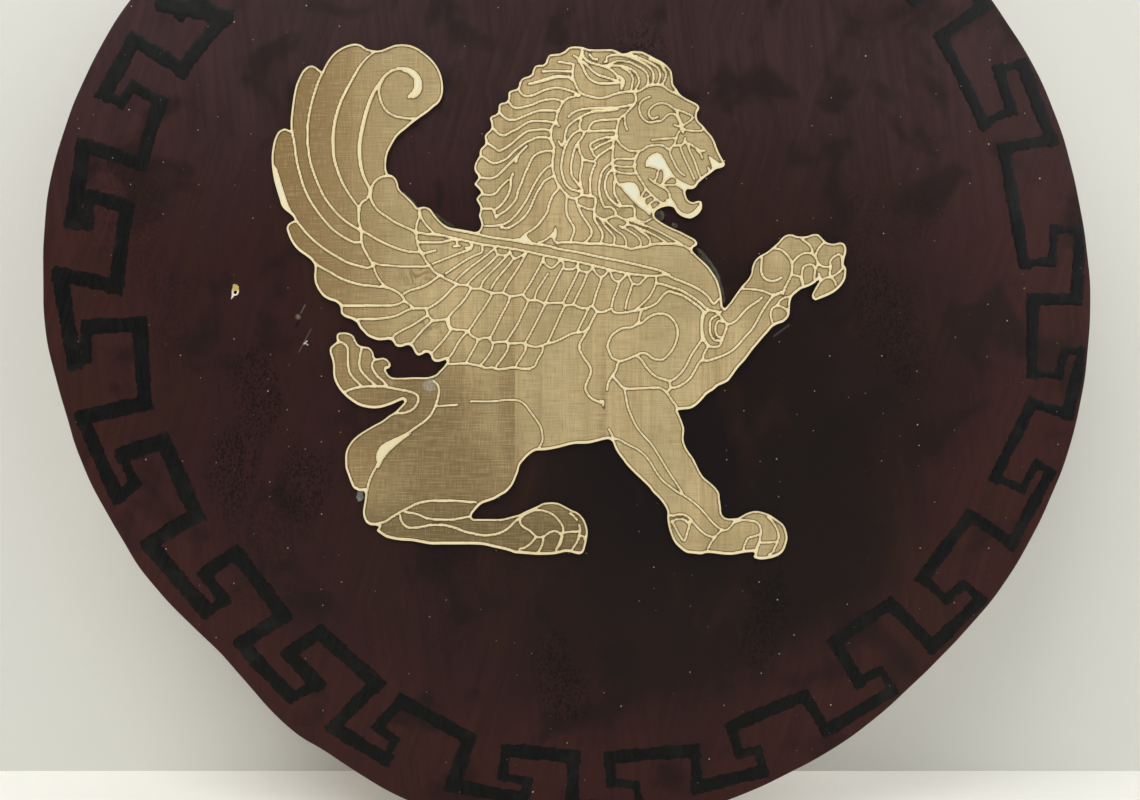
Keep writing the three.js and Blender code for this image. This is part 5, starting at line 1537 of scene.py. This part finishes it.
# Painted shade in the blind hole: below the chip's floor the pale wood is darkened to near black.
hole_painted_shade = ease(tree, xyz["Y"], front_y + 1.2 * chip_floor, front_y + 2 * chip_floor)
chip_colour = mix(tree, hole_painted_shade, chip_colour, srgb(18, 12, 9))
ragged = calc(tree, "SUBTRACT", from_middle, times(tree, noise(tree, flat, 24, 4, 0.6), 0.03))
unpainted = times(tree, calc(tree, "GREATER_THAN", xyz["Y"], back_y - paint_run),
                  ease(tree, ragged, bare_back_radius + paint_run_edge, bare_back_radius))
bare = calc(tree, "MAXIMUM", chipped, unpainted)
bare_colour = mix(tree, chipped, wood_colour, chip_colour)
tree.links.new(mix(tree, bare, colour, bare_colour), shader.inputs["Base Color"])
sheen = calc(tree, "ADD", 0.22, times(tree, noise(tree, flat, 20, 4, 0.6), 0.2))
tree.links.new(calc(tree, "MAXIMUM", sheen, times(tree, bare, 0.75)), shader.inputs["Roughness"])
relief = calc(tree, "ADD", brush["Height"], times(tree, crackle, 0.3))
relief = calc(tree, "ADD", relief, times(tree, pale, 1.2))
relief = calc(tree, "ADD", relief, times(tree, mound, 6.0))
relief = calc(tree, "SUBTRACT", relief, times(tree, scratch_and_shadow_lines, 1.5))
tree.links.new(bump(tree, relief, 0.12 * mm, 0.8), shader.inputs["Normal"])
board.data.materials.append(board_paint)

# %% [markdown]
# ## Black key paint
# The black is a satin craft paint. Bristles have left fine ridges in it, it is thinner at the
# edges, and specks of dust have dried in.

# %% Key material
key_paint, tree, shader, place = new_material("key_paint", {"Specular IOR Level": 0.1})
brush = use_group(tree, brushing, {"Vector": place, "Across": 700.0, "Along": 40.0})
thin = attribute(tree, "depth")
height = apart(tree, place)["Z"]
colour = mix(tree, brush["Tone"], srgb(6, 7, 7), srgb(19, 19, 18))
colour = mix(tree, ease(tree, noise(tree, place, 40, 4, 0.65), 0.5, 0.7, 0, 0.5), colour, srgb(33, 32, 29))
# Painted sheen: the black turns a lighter grey towards the top.
colour = mix(tree, ease(tree, height, 0.0, 0.26, 0, 0.5), colour, srgb(31, 30, 29))
colour = mix(tree, ease(tree, thin, 0.5, 0.0, 0, 0.45), colour, srgb(30, 23, 23))
pale = use_group(tree, specks, {"Vector": place, "Density": 110.0, "Share": 0.12})["Mask"]
tree.links.new(mix(tree, pale, colour, srgb(150, 146, 138)), shader.inputs["Base Color"])
tree.links.new(ease(tree, noise(tree, place, 60, 4, 0.6), 0.3, 0.7, 0.24, 0.4), shader.inputs["Roughness"])
tree.links.new(bump(tree, brush["Height"], 0.16 * mm, 0.9), shader.inputs["Normal"])
key.data.materials.append(key_paint)

# %% [markdown]
# ## Engraved plywood
# The ribs keep the veneer's pale face. The laser has burnt the fields to a light tan in fine
# rows, darker on the haunch, the shank and the tip of the wing. A thin brown line at the foot
# of every rib is laser scorch with painted shade, where the field meets the rib. Cut sides are
# burnt dark. A few broad bands and three knots of the veneer run through both.

# %% Lion material
raster_pitch = 1.1 * mm
knots_px, knot_radius = [(420, 277), (430, 325), (612, 205)], 16 * mm
burnt_px = [(450, 480), (420, 420), (550, 560)]
burnt_reach = 80 * mm
shaded_wing_px, rump_px = (450, 290), (310, 400)
shank_px, shank_end_px = (485, 530), 610
smear_px, smear_radius = (430, 385), 6 * mm
veneer_edges_px = {352: (16, 0.35), 515: (48, 0.85), 542: (9, 0.3), 606: (14, 0.4)}

lion_wood, tree, shader, place = new_material(
    "engraved_plywood", {"Specular IOR Level": 0.25, "Roughness": 0.72})
xyz = apart(tree, place)
rib_gap, edge_gap = attribute(tree, "rib_gap"), attribute(tree, "edge_gap")
wood = use_group(tree, grain, {"Vector": place, "Across": 520.0, "Along": 22.0})
veneer = noise(tree, scale_vector(tree, place, (20, 1, 2.2)), 1.0, 3, 0.5)
rib_colour = mix(tree, wood["Tone"], srgb(212, 194, 148), srgb(240, 225, 184))
rib_colour = mix(tree, ease(tree, veneer, 0.4, 0.65, 0, 0.6), rib_colour, srgb(214, 196, 150))
rump = ease(tree, xyz["Z"], *[on_board((0, y))[1] for y in rump_px], 0.25, 1)
bare = times(tree, ease(tree, rib_gap, -0.8, -2.4), calc(tree, "SUBTRACT", 1.25, rump))
rib_colour = mix(tree, bare, rib_colour, srgb(214, 215, 193))
field = mix(tree, ease(tree, wood["Tone"], 0.3, 0.7), srgb(156, 134, 92), srgb(194, 172, 128))
field = mix(tree, ease(tree, veneer, 0.35, 0.65, 0, 0.75), field, srgb(172, 154, 112))
smoky = ease(tree, noise(tree, place, 17, 3, 0.5), 0.46, 0.66, 0, 0.45)
field = mix(tree, smoky, field, srgb(150, 131, 91))
burnt = ease(tree, noise(tree, place, 11, 3, 0.5), 0.6, 0.72, 0, 0.3)
for x, z in on_board(burnt_px):
    gap = measure(tree, "DISTANCE", place, (x, 0, z))
    burnt = calc(tree, "MAXIMUM", burnt, ease(tree, gap, burnt_reach, 0.3 * burnt_reach))
for x_px, (band_px, strength) in veneer_edges_px.items():
    x = on_board((x_px, 0))[0]
    band = ease(tree, xyz["X"], x - band_px * metres_per_px, x, 0, strength)
    band = times(tree, band, calc(tree, "LESS_THAN", xyz["X"], x))
    band = times(tree, band, rump)
    burnt = calc(tree, "MAXIMUM", burnt, band)
shaded = ease(tree, xyz["X"], *[on_board((x, 0))[0] for x in shaded_wing_px], 0, 0.95)
field = mix(tree, shaded, field, srgb(126, 101, 62))
field = mix(tree, times(tree, burnt, 0.85), field, srgb(114, 91, 57))
shank = times(tree, ease(tree, xyz["Z"], *[on_board((0, y))[1] for y in shank_px], 0, 0.8),
             calc(tree, "LESS_THAN", xyz["X"], on_board((shank_end_px, 0))[0]))
field = mix(tree, shank, field, srgb(98, 82, 50))
field = mix(tree, times(tree, wood["Pores"], 0.4), field, srgb(118, 97, 64))
rows = calc(tree, "SINE", times(tree, xyz["Z"], 2 * np.pi / raster_pitch))
threads = noise(tree, scale_vector(tree, place, (1300, 1, 90)), 1.0, 3, 0.6)
crossing = noise(tree, scale_vector(tree, place, (55, 1, 1200)), 1.0, 2, 0.5)
row_depth = calc(tree, "ADD", 0.04, times(tree, burnt, 0.14))
weave = calc(tree, "ADD", times(tree, rows, row_depth), calc(tree, "ADD", threads, crossing))
coarse = calc(tree, "ADD", 0.36, times(tree, burnt, 0.24))
field = mix(tree, times(tree, ease(tree, weave, 0.98, 1.28), coarse), field, srgb(106, 85, 53))
field = mix(tree, ease(tree, weave, 0.97, 0.7, 0, 0.36), field, srgb(198, 179, 136))
for x, z in on_board(knots_px):
    offset = vector_calc(tree, "SUBTRACT", place, (x, 0, z))
    reach = measure(tree, "LENGTH", scale_vector(tree, offset, (0.7, 0, 1.3)))
    around = ease(tree, reach, knot_radius, 0.25 * knot_radius)
    swirl = ease(tree, noise(tree, place, 75, 3, 0.6, 2.5), 0.47, 0.6, 0, 0.6)
    field = mix(tree, times(tree, around, swirl), field, srgb(106, 82, 50))
# At the foot of every rib: laser scorch, darkened further with painted shade where the field meets the rib.
scorch_and_foot_shade = calc(tree, "ADD", rib_gap, times(tree, noise(tree, place, 500, 2, 0.5), 0.3))
field = mix(tree, ease(tree, scorch_and_foot_shade, 1.15, 0.55, 0, 0.8), field, srgb(80, 60, 28))
surface = mix(tree, ease(tree, rib_gap, -0.04, 0.06), rib_colour, field)
smear_gap = measure(tree, "DISTANCE", scale_vector(tree, place, (1, 0, 1)), flat_point(smear_px))
smear = times(tree, ease(tree, smear_gap, smear_radius, 0.6 * smear_radius),
              ease(tree, noise(tree, place, 700, 3, 0.7), 0.42, 0.6, 0.2, 0.85))
surface = mix(tree, smear, surface, srgb(156, 154, 146))
facing = apart(tree, tree.nodes.new("ShaderNodeNewGeometry").outputs["True Normal"])
upright_wall = ease(tree, calc(tree, "ABSOLUTE", facing["Y"]), 0.75, 0.45)
cut_side = times(tree, upright_wall, ease(tree, edge_gap, -0.6, -0.2))
surface = mix(tree, times(tree, upright_wall, 0.75), surface, srgb(116, 92, 56))
surface = mix(tree, cut_side, surface, srgb(58, 42, 28))
tree.links.new(surface, shader.inputs["Base Color"])
relief = calc(tree, "ADD", times(tree, weave, 0.6), times(tree, wood["Tone"], 0.7))
tree.links.new(bump(tree, relief, 0.08 * mm, 0.7), shader.inputs["Normal"])
lion.data.materials.append(lion_wood)

# %% [markdown]
# ## Glue, leather and steel
# Hot-melt glue sets half clear with cloudy parts, and the drop at the hock has turned milky.
# The straps are brown leather with a pebbled grain, worn pale in places and dark along their
# edges. Screws and washers are zinc-plated steel with dull scuffs. Pictures of such surfaces
# could be wrapped round the pieces, but noise on each piece's own coordinates stays sharp
# from close by, and nothing has to be unwrapped.

# %% Glue, leather and steel
glue, tree, shader, place = new_material(
    "hot_glue", {"Roughness": 0.3, "IOR": 1.48, "Transmission Weight": 0.5, "Specular IOR Level": 0.3})
cloudy = ease(tree, noise(tree, place, 160, 3, 0.6), 0.4, 0.65)
clear_glue = mix(tree, cloudy, srgb(50, 44, 26), srgb(82, 75, 50))
milky_glue = mix(tree, cloudy, srgb(120, 122, 112), srgb(168, 168, 158))
milkiness = ease(tree, apart(tree, place)["X"], -0.13, -0.15)
tree.links.new(mix(tree, milkiness, clear_glue, milky_glue), shader.inputs["Base Color"])
tree.links.new(bump(tree, noise(tree, place, 300, 2, 0.5), 0.3 * mm, 0.5), shader.inputs["Normal"])
for node_name in glue_beads:
    bpy.data.objects[node_name + "_drop"].data.materials.append(glue)

leather, tree, shader, place = new_material("leather", {"Specular IOR Level": 0.35})
edge_share = attribute(tree, "edge")
pebbles = add_node(tree, "TexVoronoi", {"Vector": place, "Scale": 620.0}, feature="DISTANCE_TO_EDGE")
pebble = pebbles.outputs["Distance"]
worn = use_group(tree, scuffs, {"Vector": place, "Size": 38.0})["Mask"]
colour = mix(tree, noise(tree, place, 30, 5, 0.6), srgb(70, 42, 24), srgb(122, 78, 46))
colour = mix(tree, times(tree, worn, 0.45), colour, srgb(150, 108, 70))
colour = mix(tree, ease(tree, edge_share, 0.9, 1.0, 0, 0.85), colour, srgb(44, 27, 17))
# Painted shade in the grooves between the pebbles of the grain.
colour = mix(tree, ease(tree, pebble, 0.12, 0.0, 0, 0.35), colour, srgb(52, 32, 20))
tree.links.new(colour, shader.inputs["Base Color"])
tree.links.new(ease(tree, worn, 0, 1, 0.46, 0.66), shader.inputs["Roughness"])
folds = times(tree, noise(tree, place, 90, 5, 0.6), 1.6)
relief = calc(tree, "ADD", ease(tree, pebble, 0.0, 0.25), folds)
tree.links.new(bump(tree, relief, 0.2 * mm, 0.6), shader.inputs["Normal"])
for made in (arm, grip):
    made.data.materials.append(leather)

zinc, tree, shader, place = new_material("zinc_steel", {"Metallic": 1.0})
dull = use_group(tree, scuffs, {"Vector": place, "Size": 240.0})["Mask"]
tree.links.new(mix(tree, dull, srgb(196, 197, 198), srgb(132, 130, 126)), shader.inputs["Base Color"])
tree.links.new(ease(tree, dull, 0, 1, 0.26, 0.5), shader.inputs["Roughness"])
tree.links.new(bump(tree, noise(tree, place, 1400, 3, 0.6), 0.02 * mm, 0.6), shader.inputs["Normal"])
for name in screws:
    for made in (name, name.replace("screw", "washer")):
        bpy.data.objects[made + "_turned"].data.materials.append(zinc)
print("materials:", [material.name for material in bpy.data.materials])

# %% [markdown]
# ## Shelf, wall and light
# The shield stands on a pale shelf before a pale wall. The wall's back is see-through and
# the wall throws no shadow, so views from behind stay open and light. Large soft lamps stand
# to both sides of the camera, the left one higher and brighter, and one stands behind.

# %% Stage
wall_gap = 121 * mm
wall_y = front_y + wall_gap
floor_z = min(corner[2] for corner in board.bound_box)
stage_half_width = 1.6
stage_height = 2.2
floor_front_y = -2.6


def stage_sheet(name, first, last):
    """One wide four-sided sheet between two lines at (y, z), as wide as the stage."""
    left, right = -stage_half_width, stage_half_width
    points = np.array([[left, *first], [right, *first], [right, *last], [left, *last]])
    return add_piece(name, points, [np.array([[0, 1, 2, 3]])], smooth=False)


wall = stage_sheet("wall", (wall_y, floor_z), (wall_y, floor_z + stage_height))
floor = stage_sheet("shelf", (floor_front_y, floor_z), (wall_y, floor_z))

pale_wall, tree, shader, place = new_material(
    "pale_wall", {"Roughness": 0.6, "Specular IOR Level": 0.3})
tree.links.new(mix(tree, noise(tree, place, 2.5, 3), srgb(208, 208, 201), srgb(215, 214, 207)),
               shader.inputs["Base Color"])
see_through = tree.nodes.new("ShaderNodeBsdfTransparent")
behind = tree.nodes.new("ShaderNodeNewGeometry").outputs["Backfacing"]
either = tree.nodes.new("ShaderNodeMixShader")
tree.links.new(behind, either.inputs[0])
tree.links.new(shader.outputs[0], either.inputs[1])
tree.links.new(see_through.outputs[0], either.inputs[2])
tree.links.new(either.outputs[0], tree.nodes["Material Output"].inputs["Surface"])
wall.data.materials.append(pale_wall)
wall.visible_shadow = False

pale_shelf, tree, shader, place = new_material(
    "pale_shelf", {"Roughness": 0.5, "Specular IOR Level": 0.3})
tree.links.new(mix(tree, noise(tree, place, 6, 3), srgb(240, 239, 232), srgb(246, 245, 239)),
               shader.inputs["Base Color"])
floor.data.materials.append(pale_shelf)
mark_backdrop(wall, floor)


def soft_lamp(name, place, aim, width, power, colour):
    """A square lamp that faces a point."""
    data = bpy.data.lights.new(name, "AREA")
    data.shape = "SQUARE"
    data.size, data.energy, data.color = width, power, colour
    lamp = bpy.data.objects.new(name, data)
    lamp.location = place
    lamp.rotation_euler = look_along(np.subtract(aim, place))
    bpy.context.scene.collection.objects.link(lamp)


def look_along(direction):
    """The turn that points a lamp's -Z along a direction."""
    x, y, z = direction / np.linalg.norm(direction)
    return (np.arccos(-z), 0, np.arctan2(-x, y))


soft_lamp("key_lamp", (-0.8, -1.4, 1.8), (0, 0, 0), 1.6, 37, (1, 0.985, 0.965))
soft_lamp("fill_lamp", (1.5, -1.4, 0.8), (0, 0, 0), 1.6, 14, (0.97, 0.99, 1))
soft_lamp("back_lamp", (0.3, 1.9, 0.5), (0, 0, 0), 1.2, 11, (1, 1, 1))
world = bpy.data.worlds.new("room")
world.use_nodes = True
world.node_tree.nodes["Background"].inputs["Color"].default_value = (0.96, 0.98, 1, 1)
world.node_tree.nodes["Background"].inputs["Strength"].default_value = 0.5
bpy.context.scene.world = world
bpy.context.scene.view_settings.view_transform = "Standard"
print("the stage stands at", round(floor_z, 4))

# %% [markdown]
# ## Hand over
# The two boxes are written down side by side, so anyone can see that the dressed part keeps
# the size of the solids.

# %% Sizes
low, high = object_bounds()
